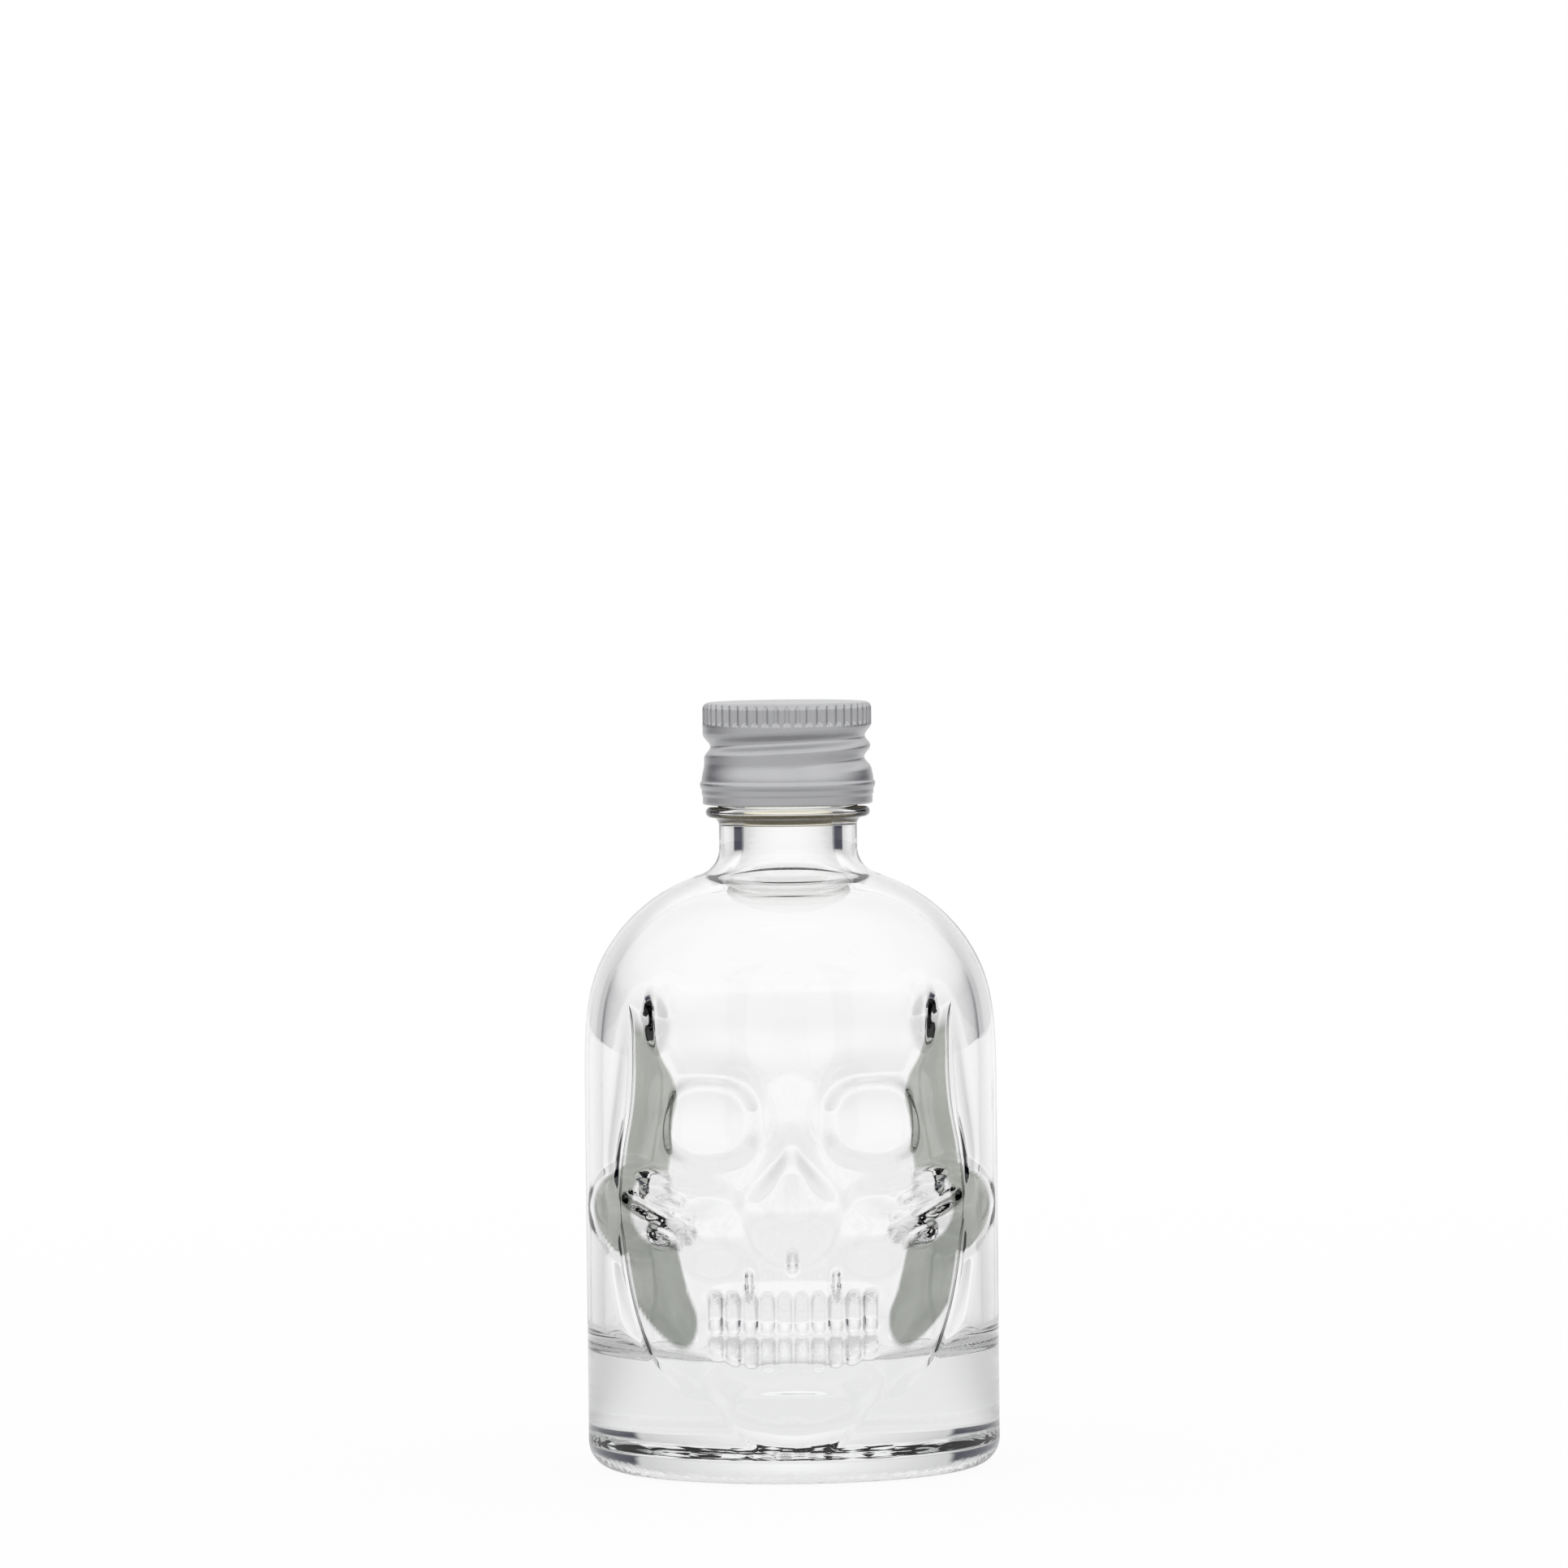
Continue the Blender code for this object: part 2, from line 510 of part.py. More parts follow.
def inside_rings():
    """Rings from the lip's inner edge down the bore and the cavity to its bottom."""
    centre_radius = CAVITY_RADIUS - CAVITY_SHOULDER_RADIUS
    fillet, fillet_angle = neck_joint(CAVITY_SHOULDER_RADIUS, centre_radius, BORE_RADIUS, BORE_FILLET_RADIUS)
    turned = arc((BORE_RADIUS + LIP_EDGE_RADIUS, LIP_HEIGHT - LIP_EDGE_RADIUS), LIP_EDGE_RADIUS, 90, 180, 3)
    turned += arc(fillet, BORE_FILLET_RADIUS, 180, fillet_angle + 180, ARC_STEPS)
    rings = [round_ring(z, radius, NECK_STEPS) for radius, z in turned]
    relief_top = RELIEF_TOP_SHARE * FACE_HEIGHT
    start = math.degrees(math.asin(min((relief_top - SIDE_TOP) / CAVITY_SHOULDER_RADIUS, 1)))
    rows = []
    if start < fillet_angle:
        rows += arc((centre_radius, SIDE_TOP), CAVITY_SHOULDER_RADIUS, fillet_angle, start, 2)[1:]
    else:
        relief_top = SIDE_TOP + CAVITY_SHOULDER_RADIUS * math.sin(math.radians(fillet_angle))
    bottom = BASE_THICKNESS + CAVITY_CORNER_RADIUS
    gap = 2 * BODY_ROW_GAP_SHARE * FACE_HEIGHT
    heights = spread(bottom, relief_top, gap)
    rows += [(turned_radius(z, CAVITY_RADIUS, CAVITY_SHOULDER_RADIUS), z) for z in reversed(heights)]
    corner = (CAVITY_RADIUS - CAVITY_CORNER_RADIUS, bottom)
    rows += arc(corner, CAVITY_CORNER_RADIUS, 0, -90, ARC_STEPS)
    side_shares = CAVITY_SIDE_COLUMN_SHARES
    for radius, z in rows:
        places = columns(z, radius, CAVITY_FACE_STEPS, side_shares, CAVITY_ROUND_COLUMN_SHARES, WALL)
        rings.append(front_ring(z, radius, places, CAVITY_BACK_STEPS, inner_depth))
    return rings


def skin(name, rings, first_pole, last_pole):
    """A closed mesh over a run of rings: quads between rings of one count, triangles between unlike ones."""
    points = [first_pole]
    starts = []
    for ring in rings:
        starts.append(len(points))
        points.extend(tuple(point) for point in ring)
    points.append(last_pole)
    faces = []
    first_count = len(rings[0])
    for i in range(first_count):
        faces.append((0, starts[0] + (i + 1) % first_count, starts[0] + i))
    for ring, following, start, next_start in zip(rings, rings[1:], starts, starts[1:]):
        if len(ring) == len(following):
            faces += quad_band(len(ring), start, next_start)
        else:
            faces += zipped_band(ring, following, start, next_start)
    last_count = len(rings[-1])
    for i in range(last_count):
        faces.append((len(points) - 1, starts[-1] + i, starts[-1] + (i + 1) % last_count))
    mesh = bpy.data.meshes.new(name)
    mesh.from_pydata(points, [], faces)
    mesh.validate()
    mesh.shade_smooth()
    mesh.set_sharp_from_angle(angle=SHARP_ANGLE)
    return mesh


def quad_band(count, start, next_start):
    band = []
    for i in range(count):
        j = (i + 1) % count
        band.append((start + i, start + j, next_start + j, next_start + i))
    return band


def ring_turns(ring):
    """How far round the axis each point lies, from 0 at +X, rising through one turn."""
    turn = np.arctan2(ring[:, 1], ring[:, 0]) / math.tau % 1
    turn[0] = 0
    return np.append(turn, 1)


def zipped_band(ring, following, start, next_start):
    here = ring_turns(ring)
    there = ring_turns(following)
    faces = []
    i = 0
    j = 0
    while i < len(ring) or j < len(following):
        step_here = j == len(following) or (i < len(ring) and here[i + 1] <= there[j + 1])
        a = start + i % len(ring)
        b = next_start + j % len(following)
        if step_here:
            i += 1
            faces.append((a, start + i % len(ring), b))
        else:
            j += 1
            faces.append((a, next_start + j % len(following), b))
    return faces


def groove_depth(turn, z):
    """How deep the rolled thread is pressed into the cap at a turn and a height, from 0 to 1."""
    depth = np.zeros(np.broadcast(turn, z).shape)
    for lap in range(math.floor(GROOVE_START_TURN), math.ceil(GROOVE_END_TURN)):
        place = turn + lap
        fade = ramp(place, GROOVE_START_TURN, GROOVE_START_TURN + GROOVE_FADE_TURN)
        fade = fade * (1 - ramp(place, GROOVE_END_TURN - GROOVE_FADE_TURN, GROOVE_END_TURN))
        phase = np.clip((z - GROOVE_HEIGHT) / THREAD_PITCH - place, -1 / 2, 1 / 2)
        depth = np.maximum(depth, fade * (1 + np.cos(math.tau * phase)) / 2)
    return depth


def cap_profile():
    """Heights and radii of the cap's side without its knurls and groove, from the top down."""
    side_top = CAP_TOP - CAP_CORNER_RADIUS
    band_bottom = KNURL_BOTTOM - BAND_HEIGHT
    groove_gap = THREAD_PITCH / 6
    rows = [(z, CAP_RADIUS) for z in (KNURL_BOTTOM + KNURL_RUNOUT, KNURL_BOTTOM, band_bottom)]
    for z in reversed(spread(BEAD_TOP, band_bottom, groove_gap)):
        flare = 1 - ramp(z, BEAD_TOP, BEAD_TOP + FLARE_HEIGHT)
        collar = ramp(z, band_bottom - THREAD_PITCH / 3, band_bottom)
        radius = GROOVE_CREST_RADIUS + (FLARE_RADIUS - GROOVE_CREST_RADIUS) * flare
        rows.append((z, radius + (CAP_RADIUS - GROOVE_CREST_RADIUS) * collar))
    quarter = BEAD_HEIGHT / 4
    rows += [(BEAD_TOP, FLARE_RADIUS), (BEAD_TOP - quarter, BEAD_RADIUS)]
    rows += [(BEAD_BOTTOM + quarter, BEAD_RADIUS), (BEAD_BOTTOM, FLARE_RADIUS), (HEM_STEP, FLARE_RADIUS)]
    rows += [(HEM_STEP - CAP_WALL / 2, HEM_RADIUS), (HEM_BOTTOM + CAP_WALL / 2, HEM_RADIUS)]
    return side_top, rows


def cap_ring(z, radius, steps, knurl):
    """One ring of the cap: knurl is how deep its knurls are cut there, from 0 to 1."""
    turn = np.arange(steps) / steps
    pressed = groove_depth(turn, z) * GROOVE_DEPTH
    furrow = knurl * KNURL_DEPTH * (np.arange(steps) % 2)
    ring_radius = radius - pressed - furrow
    angle = turn * math.tau
    return np.column_stack([ring_radius * np.cos(angle), ring_radius * np.sin(angle), np.full(steps, z)])


def cap_rings():
    side_top, rows = cap_profile()
    knurled = 2 * KNURL_COUNT
    corner = arc((CAP_RADIUS - CAP_CORNER_RADIUS, side_top), CAP_CORNER_RADIUS, 90, 0, 3)
    rings = [cap_ring(z, radius, knurled, step / 3) for step, (radius, z) in enumerate(corner)]
    rings.append(cap_ring(rows[0][0], rows[0][1], knurled, 1))
    rings += [cap_ring(z, radius, CAP_STEPS, 0) for z, radius in rows[1:]]
    hem_middle = HEM_RADIUS - CAP_WALL / 2
    rings.append(cap_ring(HEM_BOTTOM, hem_middle, CAP_STEPS, 0))
    inner = [(z, radius - CAP_WALL) for z, radius in reversed(rows)]
    rings += [cap_ring(z, radius, CAP_STEPS, 0) for z, radius in inner[:-2]]
    plug_radius = CAP_RADIUS - KNURL_DEPTH - CAP_WALL
    corner_radius = CAP_CORNER_RADIUS - CAP_WALL
    rings.append(cap_ring(KNURL_BOTTOM, plug_radius, CAP_STEPS, 0))
    inside = arc((plug_radius - corner_radius, CAP_INSIDE_TOP - corner_radius), corner_radius, 0, 90, 2)
    rings += [cap_ring(z, radius, CAP_STEPS, 0) for radius, z in inside]
    return rings


def thread_mesh():
    """The glass thread: a ridge that winds up the finish and sinks into it at both ends."""
    root = FINISH_RADIUS - THREAD_SINK
    rise = THREAD_CREST_RADIUS - root
    half = THREAD_HALF_WIDTH
    crest = THREAD_CREST_HALF_WIDTH
    section = ((0, -half), (0, half), (rise, crest), (rise, -crest))
    turns = THREAD_END_TURN - THREAD_START_TURN
    count = math.ceil(turns * THREAD_STEPS)
    points = []
    for step in range(count + 1):
        turn = THREAD_START_TURN + turns * step / count
        fade = ramp(turn, THREAD_START_TURN, THREAD_START_TURN + THREAD_FADE_TURN)
        fade = fade * (1 - ramp(turn, THREAD_END_TURN - THREAD_FADE_TURN, THREAD_END_TURN))
        height = GROOVE_HEIGHT + THREAD_PITCH * (turn + 1 / 2)
        angle = turn * math.tau
        for out, up in section:
            sunk = root + out * fade - (1 - fade) * THREAD_SINK / 2
            points.append((sunk * math.cos(angle), sunk * math.sin(angle), height + up))
    sides = len(section)
    faces = [tuple(reversed(range(sides))), tuple(count * sides + side for side in range(sides))]
    for step in range(count):
        for side in range(sides):
            a = step * sides + side
            b = step * sides + (side + 1) % sides
            faces.append((a, b, b + sides, a + sides))
    mesh = bpy.data.meshes.new("thread_ridge")
    mesh.from_pydata(points, [], faces)
    mesh.validate()
    return mesh


def material(name, colour, roughness, metallic, transmission):
    made = bpy.data.materials.new(name)
    made.use_nodes = True
    shader = made.node_tree.nodes["Principled BSDF"]
    shader.inputs["Base Color"].default_value = colour
    shader.inputs["Roughness"].default_value = roughness
    shader.inputs["Metallic"].default_value = metallic
    shader.inputs["Transmission Weight"].default_value = transmission
    shader.inputs["IOR"].default_value = GLASS_IOR
    return made


def place(collection, name, mesh, look, location):
    """An object whose origin stands at location, with its mesh kept where it was made."""
    made = bpy.data.objects.new(name, mesh)
    mesh.transform(Matrix.Translation([-value for value in location]))
    made.location = location
    if look is not None:
        mesh.materials.append(look)
    collection.objects.link(made)
    return made


def make_bottle(parts, cutters):
    look = material("glass", GLASS_COLOUR, GLASS_ROUGHNESS, 0, 1)
    rings = foot_rings() + outside_rings() + inside_rings()
    mesh = skin("glass_bottle", rings, (0, 0, BASE_RISE), (0, 0, BASE_THICKNESS))
    bottle = place(parts, "glass_bottle", mesh, look, (0, 0, 0))
    ridge = place(cutters, "thread_ridge", thread_mesh(), None, (0, 0, 0))
    ridge.hide_render = True
    ridge.display_type = "WIRE"
    join = bottle.modifiers.new("thread", "BOOLEAN")
    join.operation = "UNION"
    join.solver = "EXACT"
    join.object = ridge
    return bottle


def make_cap(parts):
    look = material("aluminium", ALUMINIUM_COLOUR, ALUMINIUM_ROUGHNESS, 1, 0)
    mesh = skin("cap_shell", cap_rings()[::-1], (0, 0, CAP_INSIDE_TOP), (0, 0, CAP_TOP))
    return place(parts, "cap_shell", mesh, look, (0, 0, HEM_BOTTOM))


def make_liner(parts):
    """The sealing disc in the top of the cap, a turned profile."""
    look = material("liner", LINER_COLOUR, LINER_ROUGHNESS, 0, 0)
    top = LINER_THICKNESS
    mesh = bpy.data.meshes.new("cap_liner")
    points = [(0, 0, top), (LINER_RADIUS, 0, top), (LINER_RADIUS, 0, 0), (0, 0, 0)]
    mesh.from_pydata(points, [(i, i + 1) for i in range(len(points) - 1)], [])
    liner = place(parts, "cap_liner", mesh, look, (0, 0, 0))
    liner.location = (0, 0, LINER_BOTTOM)
    turn = liner.modifiers.new("turn", "SCREW")
    turn.steps = LINER_STEPS
    turn.render_steps = LINER_STEPS
    turn.use_merge_vertices = True
    turn.merge_threshold = CAP_WALL / 10
    return liner


def main():
    for old in list(bpy.data.objects):
        bpy.data.objects.remove(old)
    parts = bpy.data.collections.new("skull_bottle")
    cutters = bpy.data.collections.new("skull_bottle_cutters")
    for collection in (parts, cutters):
        bpy.context.scene.collection.children.link(collection)
    bottle = make_bottle(parts, cutters)
    cap = make_cap(parts)
    liner = make_liner(parts)
    for made in (bottle, cap, liner):
        print(made.name, len(made.data.polygons), "faces")


main()
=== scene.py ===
# %% [markdown]
# # A small glass bottle with a skull in its front
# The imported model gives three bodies: the glass, the liner and the cap, all in metres, with the face
# towards -Y. This file dresses them: it works out a fine glass surface and a fine cap, gives every piece
# its finish, and builds the studio that the glass bends and mirrors.

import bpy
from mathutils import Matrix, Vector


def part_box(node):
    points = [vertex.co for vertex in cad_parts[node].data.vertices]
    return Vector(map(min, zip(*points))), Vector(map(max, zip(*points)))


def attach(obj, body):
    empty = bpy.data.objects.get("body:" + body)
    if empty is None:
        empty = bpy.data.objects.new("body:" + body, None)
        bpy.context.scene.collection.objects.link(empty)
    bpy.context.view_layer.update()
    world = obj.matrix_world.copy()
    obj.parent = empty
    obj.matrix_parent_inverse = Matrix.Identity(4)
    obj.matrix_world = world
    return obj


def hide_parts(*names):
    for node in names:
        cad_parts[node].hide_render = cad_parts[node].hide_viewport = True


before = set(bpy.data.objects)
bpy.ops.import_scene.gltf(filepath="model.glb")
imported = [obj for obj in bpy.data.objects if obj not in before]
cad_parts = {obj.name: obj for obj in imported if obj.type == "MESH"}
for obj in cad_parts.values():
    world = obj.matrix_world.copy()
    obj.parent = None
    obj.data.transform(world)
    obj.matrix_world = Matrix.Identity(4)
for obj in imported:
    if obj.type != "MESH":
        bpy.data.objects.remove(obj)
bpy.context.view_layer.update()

# %% Other modules
import math
from collections import namedtuple

import bpy
import numpy as np
from mathutils import Matrix

# %% [markdown]
# ## Surfaces from grids
# The real glass is blown in a mould and the real cap is drawn from sheet, and both are turned shapes with
# relief. They could be turned with a Screw modifier and then sculpted. Here each is one grid of points
# instead, because its relief is then a plain formula: rows run up the outside, over the rim and down the
# inside, every row goes once round the axis, and a point closes each end.


# %% A closed surface from rows of points
def closed_rows(name, grid, first_pole, last_pole):
    """Each row is joined to the next by quads and wraps round; a fan of triangles closes both ends."""
    rows, count = grid.shape[:2]
    points = np.concatenate([[first_pole], grid.reshape(-1, 3), [last_pole]])
    here = np.arange(count)
    after = np.roll(here, -1)
    start = 1 + count * np.arange(rows - 1)[:, None]
    quads = np.stack([start + here, start + after, start + count + after, start + count + here], axis=-1)
    last = 1 + count * (rows - 1)
    pole = np.full(count, len(points) - 1)
    first_fan = np.stack([np.zeros(count, int), 1 + after, 1 + here], axis=-1)
    last_fan = np.stack([pole, last + here, last + after], axis=-1)
    corners = np.concatenate([quads.reshape(-1), first_fan.reshape(-1), last_fan.reshape(-1)])
    sizes = np.concatenate([np.full(quads.size // 4, 4), np.full(2 * count, 3)])
    mesh = bpy.data.meshes.new(name)
    mesh.vertices.add(len(points))
    mesh.vertices.foreach_set("co", points.astype(np.float32).ravel())
    mesh.loops.add(len(corners))
    mesh.loops.foreach_set("vertex_index", corners.astype(np.int32))
    mesh.polygons.add(len(sizes))
    mesh.polygons.foreach_set("loop_start", (np.cumsum(sizes) - sizes).astype(np.int32))
    mesh.update(calc_edges=True)
    mesh.validate()
    mesh.shade_smooth()
    made = bpy.data.objects.new(name, mesh)
    bpy.context.scene.collection.objects.link(made)
    print(name, len(points), "points", int((sizes - 2).sum()), "triangles")
    return made


def mark(piece, name, values):
    """Keeps one number a point on the mesh, for its material to read."""
    marked = piece.data.attributes.new(name, "FLOAT", "POINT")
    marked.data.foreach_set("value", values)
    print(piece.name, "has", int((values > 1 / 2).sum()), "points marked", name)


# %% [markdown]
# ## Soft joins
# Moulded glass has no sharp corners. A Bevel modifier would round edges of a mesh, but here two forms meet
# before there is a mesh: the larger or the smaller of two depths is taken, with the step between them
# rounded over a width. A ramp rises from 0 to 1 without a kink.


# %% Ramps and soft joins
def ramp(value, low, high):
    """0 up to low and 1 from high on; between them 3t^2 - 2t^3, where t is the share of the way."""
    t = np.clip((value - low) / (high - low), 0, 1)
    return t * t * (3 - 2 * t)


def soft_least(a, b, width):
    """The smaller of a and b, less a quarter circle's worth of rounding where they lie within width."""
    t = np.clip((1 + (b - a) / width) / 2, 0, 1)
    return b * (1 - t) + a * t - width * t * (1 - t)


def soft_most(a, b, width):
    """The larger of a and b, with the same rounding added."""
    return -soft_least(-a, -b, width)


print("half way up a ramp:", ramp(0.5, 0, 1), "two equal forms join at:", soft_most(0.0, 0.0, 1.0))


# %% Curves through tables, and arcs
def curve_at(table, place):
    """A smooth curve through rows of place and value, level past the ends; slopes come from neighbours."""
    places, values = np.array(table).T
    slopes = np.gradient(values, places)
    place = np.clip(place, places[0], places[-1])
    i = np.clip(np.searchsorted(places, place) - 1, 0, len(places) - 2)
    span = places[i + 1] - places[i]
    t = (place - places[i]) / span
    rise = t * t * (3 - 2 * t)
    bends = slopes[i] * t * (1 - t) ** 2 + slopes[i + 1] * t * t * (t - 1)
    return values[i] * (1 - rise) + values[i + 1] * rise + span * bends


def arc(centre, radius, start, end, steps):
    """Points of an arc from start to end in degrees, as rows of distance from the axis and height."""
    turn = np.radians(np.linspace(start, end, steps + 1))
    return np.column_stack([centre[0] + radius * np.cos(turn), centre[1] + radius * np.sin(turn)])


# %% [markdown]
# ## The round body
# Behind the face the bottle is a plain turned form: a straight side, a domed shoulder and a neck, with a
# thick base. A curve could be turned round the axis, but the face and the cavity both have to know how wide
# the body is at any height, so its width is a function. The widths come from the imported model, and the rest
# are the sizes that its part has.

# %% Sizes of the glass
glass_low, glass_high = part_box("glass_bottle")
BODY_RADIUS = float(glass_high[0] - glass_low[0]) / 2
LIP_HEIGHT = float(glass_high[2])
SIDE_TOP = 0.0468
SHOULDER_RADIUS = 0.0179
SHOULDER_BLEND = 0.008
FACE_HEIGHT = 0.0500
WALL = 0.0018
print("body radius", round(BODY_RADIUS, 5), "lip at", round(LIP_HEIGHT, 5))


# %% Width of the plain body at a height
def half_chord(radius, across):
    """How far forward a circle reaches beside its middle: the root of radius squared less across squared."""
    return np.sqrt(np.clip(radius**2 - across**2, 0, None))


def turned_radius(z, radius, shoulder_radius):
    """Straight, and from the side's top, by a soft join, a quarter circle up the shoulder."""
    rise = soft_most(z - SIDE_TOP, 0, SHOULDER_BLEND)
    return radius - shoulder_radius + np.sqrt(np.maximum(shoulder_radius**2 - rise**2, 0))


def body_radius(z):
    """The outside's radius at a height."""
    return turned_radius(z, BODY_RADIUS, SHOULDER_RADIUS)


def cavity_radius(z):
    """The cavity's: the same form, a wall smaller."""
    return turned_radius(z, BODY_RADIUS - WALL, SHOULDER_RADIUS - WALL)


print("radius at the side's top:", body_radius(SIDE_TOP).round(5), "and", cavity_radius(SIDE_TOP).round(5))

# %% [markdown]
# ## The skull
# The face is pressed into the front of the round body. It could be sculpted, or cut with booleans, but one
# formula keeps every place of it open to measuring and change: at each place across and up, it says how far
# forward of the axis the glass stands. That is the round body less the hollows of the face, with side walls
# that run back to a channel on each side. Heights are shares of the face's height, and widths and depths
# are shares of the body's radius.

# %% The lines that bound the face
FACE_EDGE_SHARES = (
    (0.06, 0.05), (0.07, 0.08), (0.095, 0.19), (0.143, 0.27), (0.20, 0.32), (0.26, 0.36), (0.319, 0.40),
    (0.388, 0.476), (0.483, 0.535), (0.57, 0.575), (0.64, 0.585), (0.70, 0.573), (0.768, 0.562),
    (0.82, 0.54), (0.86, 0.555), (0.906, 0.61), (0.96, 0.65), (1.04, 0.70), (1.14, 0.77),
)
CHANNEL_LINE_SHARES = (
    (0.07, 0.20), (0.095, 0.34), (0.143, 0.44), (0.203, 0.54), (0.268, 0.657), (0.337, 0.73),
    (0.405, 0.77), (0.49, 0.80), (0.625, 0.817), (0.70, 0.80), (0.785, 0.767), (0.92, 0.75),
    (1.0, 0.76), (1.04, 0.785), (1.14, 0.855), (1.2, 0.90),
)
CHANNEL_DEPTH_SHARES = (
    (0.0, 1.0), (0.10, 1.0), (0.16, 0.995), (0.22, 0.975), (0.28, 0.935), (0.33, 0.88), (0.39, 0.81),
    (0.46, 0.77), (0.88, 0.77), (0.94, 0.81), (1.0, 0.92), (1.05, 0.99), (1.1, 1.0),
)
print("channel's line at mid height:", curve_at(CHANNEL_LINE_SHARES, 1 / 2).round(3))

# %% Soft hollows and raised places
Feature = namedtuple("Feature", "across up half_width half_height power edge depth")
ORBIT = Feature(0.40, 0.77, 0.27, 0.108, 2.5, 0.36, 0.072)
CHEEK_HOLLOW = Feature(0.385, 0.52, 0.21, 0.092, 2.0, 1.0, 0.055)
BROW_DIP = Feature(0.0, 0.98, 0.585, 0.08, 2.0, 0.9, 0.006)
BROW = Feature(0.30, 0.905, 0.38, 0.055, 2.0, 1.0, -0.035)
NOSE_ROOT = Feature(0.0, 0.775, 0.16, 0.11, 2.0, 1.0, 0.03)
CHEEKBONE = Feature(0.50, 0.615, 0.25, 0.065, 2.0, 1.0, -0.06)
NOSE_SPINE = Feature(0.0, 0.475, 0.04, 0.03, 2.0, 1.0, -0.05)
TOOTH_BAND = Feature(0.0, 0.326, 0.48, 0.112, 4.0, 0.5, 0.035)
LIP_GROOVE = Feature(0.0, 0.215, 0.42, 0.05, 2.0, 1.0, 0.005)
CHIN = Feature(0.0, 0.150, 0.40, 0.07, 3.0, 0.8, -0.024)
SOFT_FEATURES = (
    ORBIT, CHEEK_HOLLOW, BROW_DIP, BROW, NOSE_ROOT, CHEEKBONE, NOSE_SPINE, TOOTH_BAND, LIP_GROOVE, CHIN,
)


def swell(across, up, feature):
    """1 in the middle of a superellipse, falling to 0 over the outer share of it that edge gives."""
    side = np.abs((across - feature.across) / feature.half_width) ** feature.power
    height = np.abs((up - feature.up) / feature.half_height) ** feature.power
    reach = (side + height) ** (1 / feature.power)
    return 1 - ramp(reach, 1 - feature.edge, 1)


print("soft hollows and raised places:", len(SOFT_FEATURES))

# %% Nose
NOSE_WIDTH_SHARES = (
    (0.46, 0.10), (0.52, 0.175), (0.58, 0.20), (0.62, 0.17), (0.66, 0.11), (0.70, 0.05), (0.74, 0.03),
)
NOSE_DEPTH = 0.085
NOSE_EDGE = (0.2, 1.3)
NOSE_RANGE = (0.46, 0.58, 0.66, 0.73)


def nose(across, up):
    """A hollow whose half width follows a table of heights, and which fades in and out at its ends."""
    low_start, low_end, high_start, high_end = NOSE_RANGE
    reach = across / curve_at(NOSE_WIDTH_SHARES, up)
    open_part = ramp(up, low_start, low_end) * (1 - ramp(up, high_start, high_end))
    return NOSE_DEPTH * (1 - ramp(reach, *NOSE_EDGE)) * open_part


# %% Teeth
TOOTH_ROWS = ((0.322, 0.408, 0.050), (0.238, 0.314, 0.045))
MOUTH_UP, ROW_BEND = 0.318, 0.04
TEETH_PER_SIDE = 5
TEETH_HALF_WIDTH = 0.41
TOOTH_RISE_SHARES = (0.6, 0.7, 1.0, 1.3, 1.3)
TOOTH_POWER, CROWN_POWER = 3, 2.4


def teeth(across, up):
    """Each crown is a rounded square: its rise times the root of one less its reach to a power. The lower
    row bends up towards its ends."""
    crowns = np.zeros_like(across)
    width = TEETH_HALF_WIDTH / TEETH_PER_SIDE
    for bottom, top, rise in TOOTH_ROWS:
        bottom = bottom + ROW_BEND * (bottom < MOUTH_UP) * np.minimum(across / TEETH_HALF_WIDTH, 1) ** 2
        height = np.abs(up - (bottom + top) / 2) / (top - bottom) * 2
        for tooth in range(TEETH_PER_SIDE):
            side = np.abs(across - width * (tooth + 1 / 2)) / width * 2
            reach = np.clip((side**TOOTH_POWER + height**TOOTH_POWER) ** (1 / TOOTH_POWER), 0, 1)
            crowns = np.maximum(crowns, rise * TOOTH_RISE_SHARES[tooth] * np.sqrt(1 - reach**CROWN_POWER))
    return crowns


# %% Lower face, cheekbone arch and jaw
LOWER_FACE_DEPTH = 0.055
LOWER_FACE_RANGE = (0.10, 0.40, 0.60, 0.88)
ARCH_ACROSS, ARCH_UP = 0.63, 0.572
ARCH_HALF_WIDTH, ARCH_HALF_HEIGHT = 0.347, 0.098
ARCH_FOOT, ARCH_RISE, ARCH_FALL = 0.135, 0.518, 1.8
JAW_LINE_SHARES = ((0.08, 0.18), (0.16, 0.405), (0.24, 0.55), (0.32, 0.62), (0.40, 0.65), (0.52, 0.665))
JAW_DEPTH, JAW_SLOPE, JAW_POWER = 0.55, 5.9, 1.5
JAW_LOW_DROP, JAW_HIGH_DROP = 0.45, 0.54
JAW_RANGE = (0.10, 0.18, 0.40, 0.54)


def lower_face(up):
    """The face stands back a little from its nose down to its chin, by a ramp at each end."""
    low_start, low_end, high_start, high_end = LOWER_FACE_RANGE
    return LOWER_FACE_DEPTH * (1 - ramp(up, high_start, high_end)) * ramp(up, low_start, low_end)


def arch(across, up):
    """Half an ellipsoid on the channel's floor, which falls away steeply outside it."""
    side = (across - ARCH_ACROSS) / ARCH_HALF_WIDTH
    height = (up - ARCH_UP) / ARCH_HALF_HEIGHT
    inside = 1 - side**2 - height**2
    return ARCH_FOOT + ARCH_RISE * np.sqrt(np.clip(inside, 0, None)) - ARCH_FALL * np.clip(-inside, 0, None)


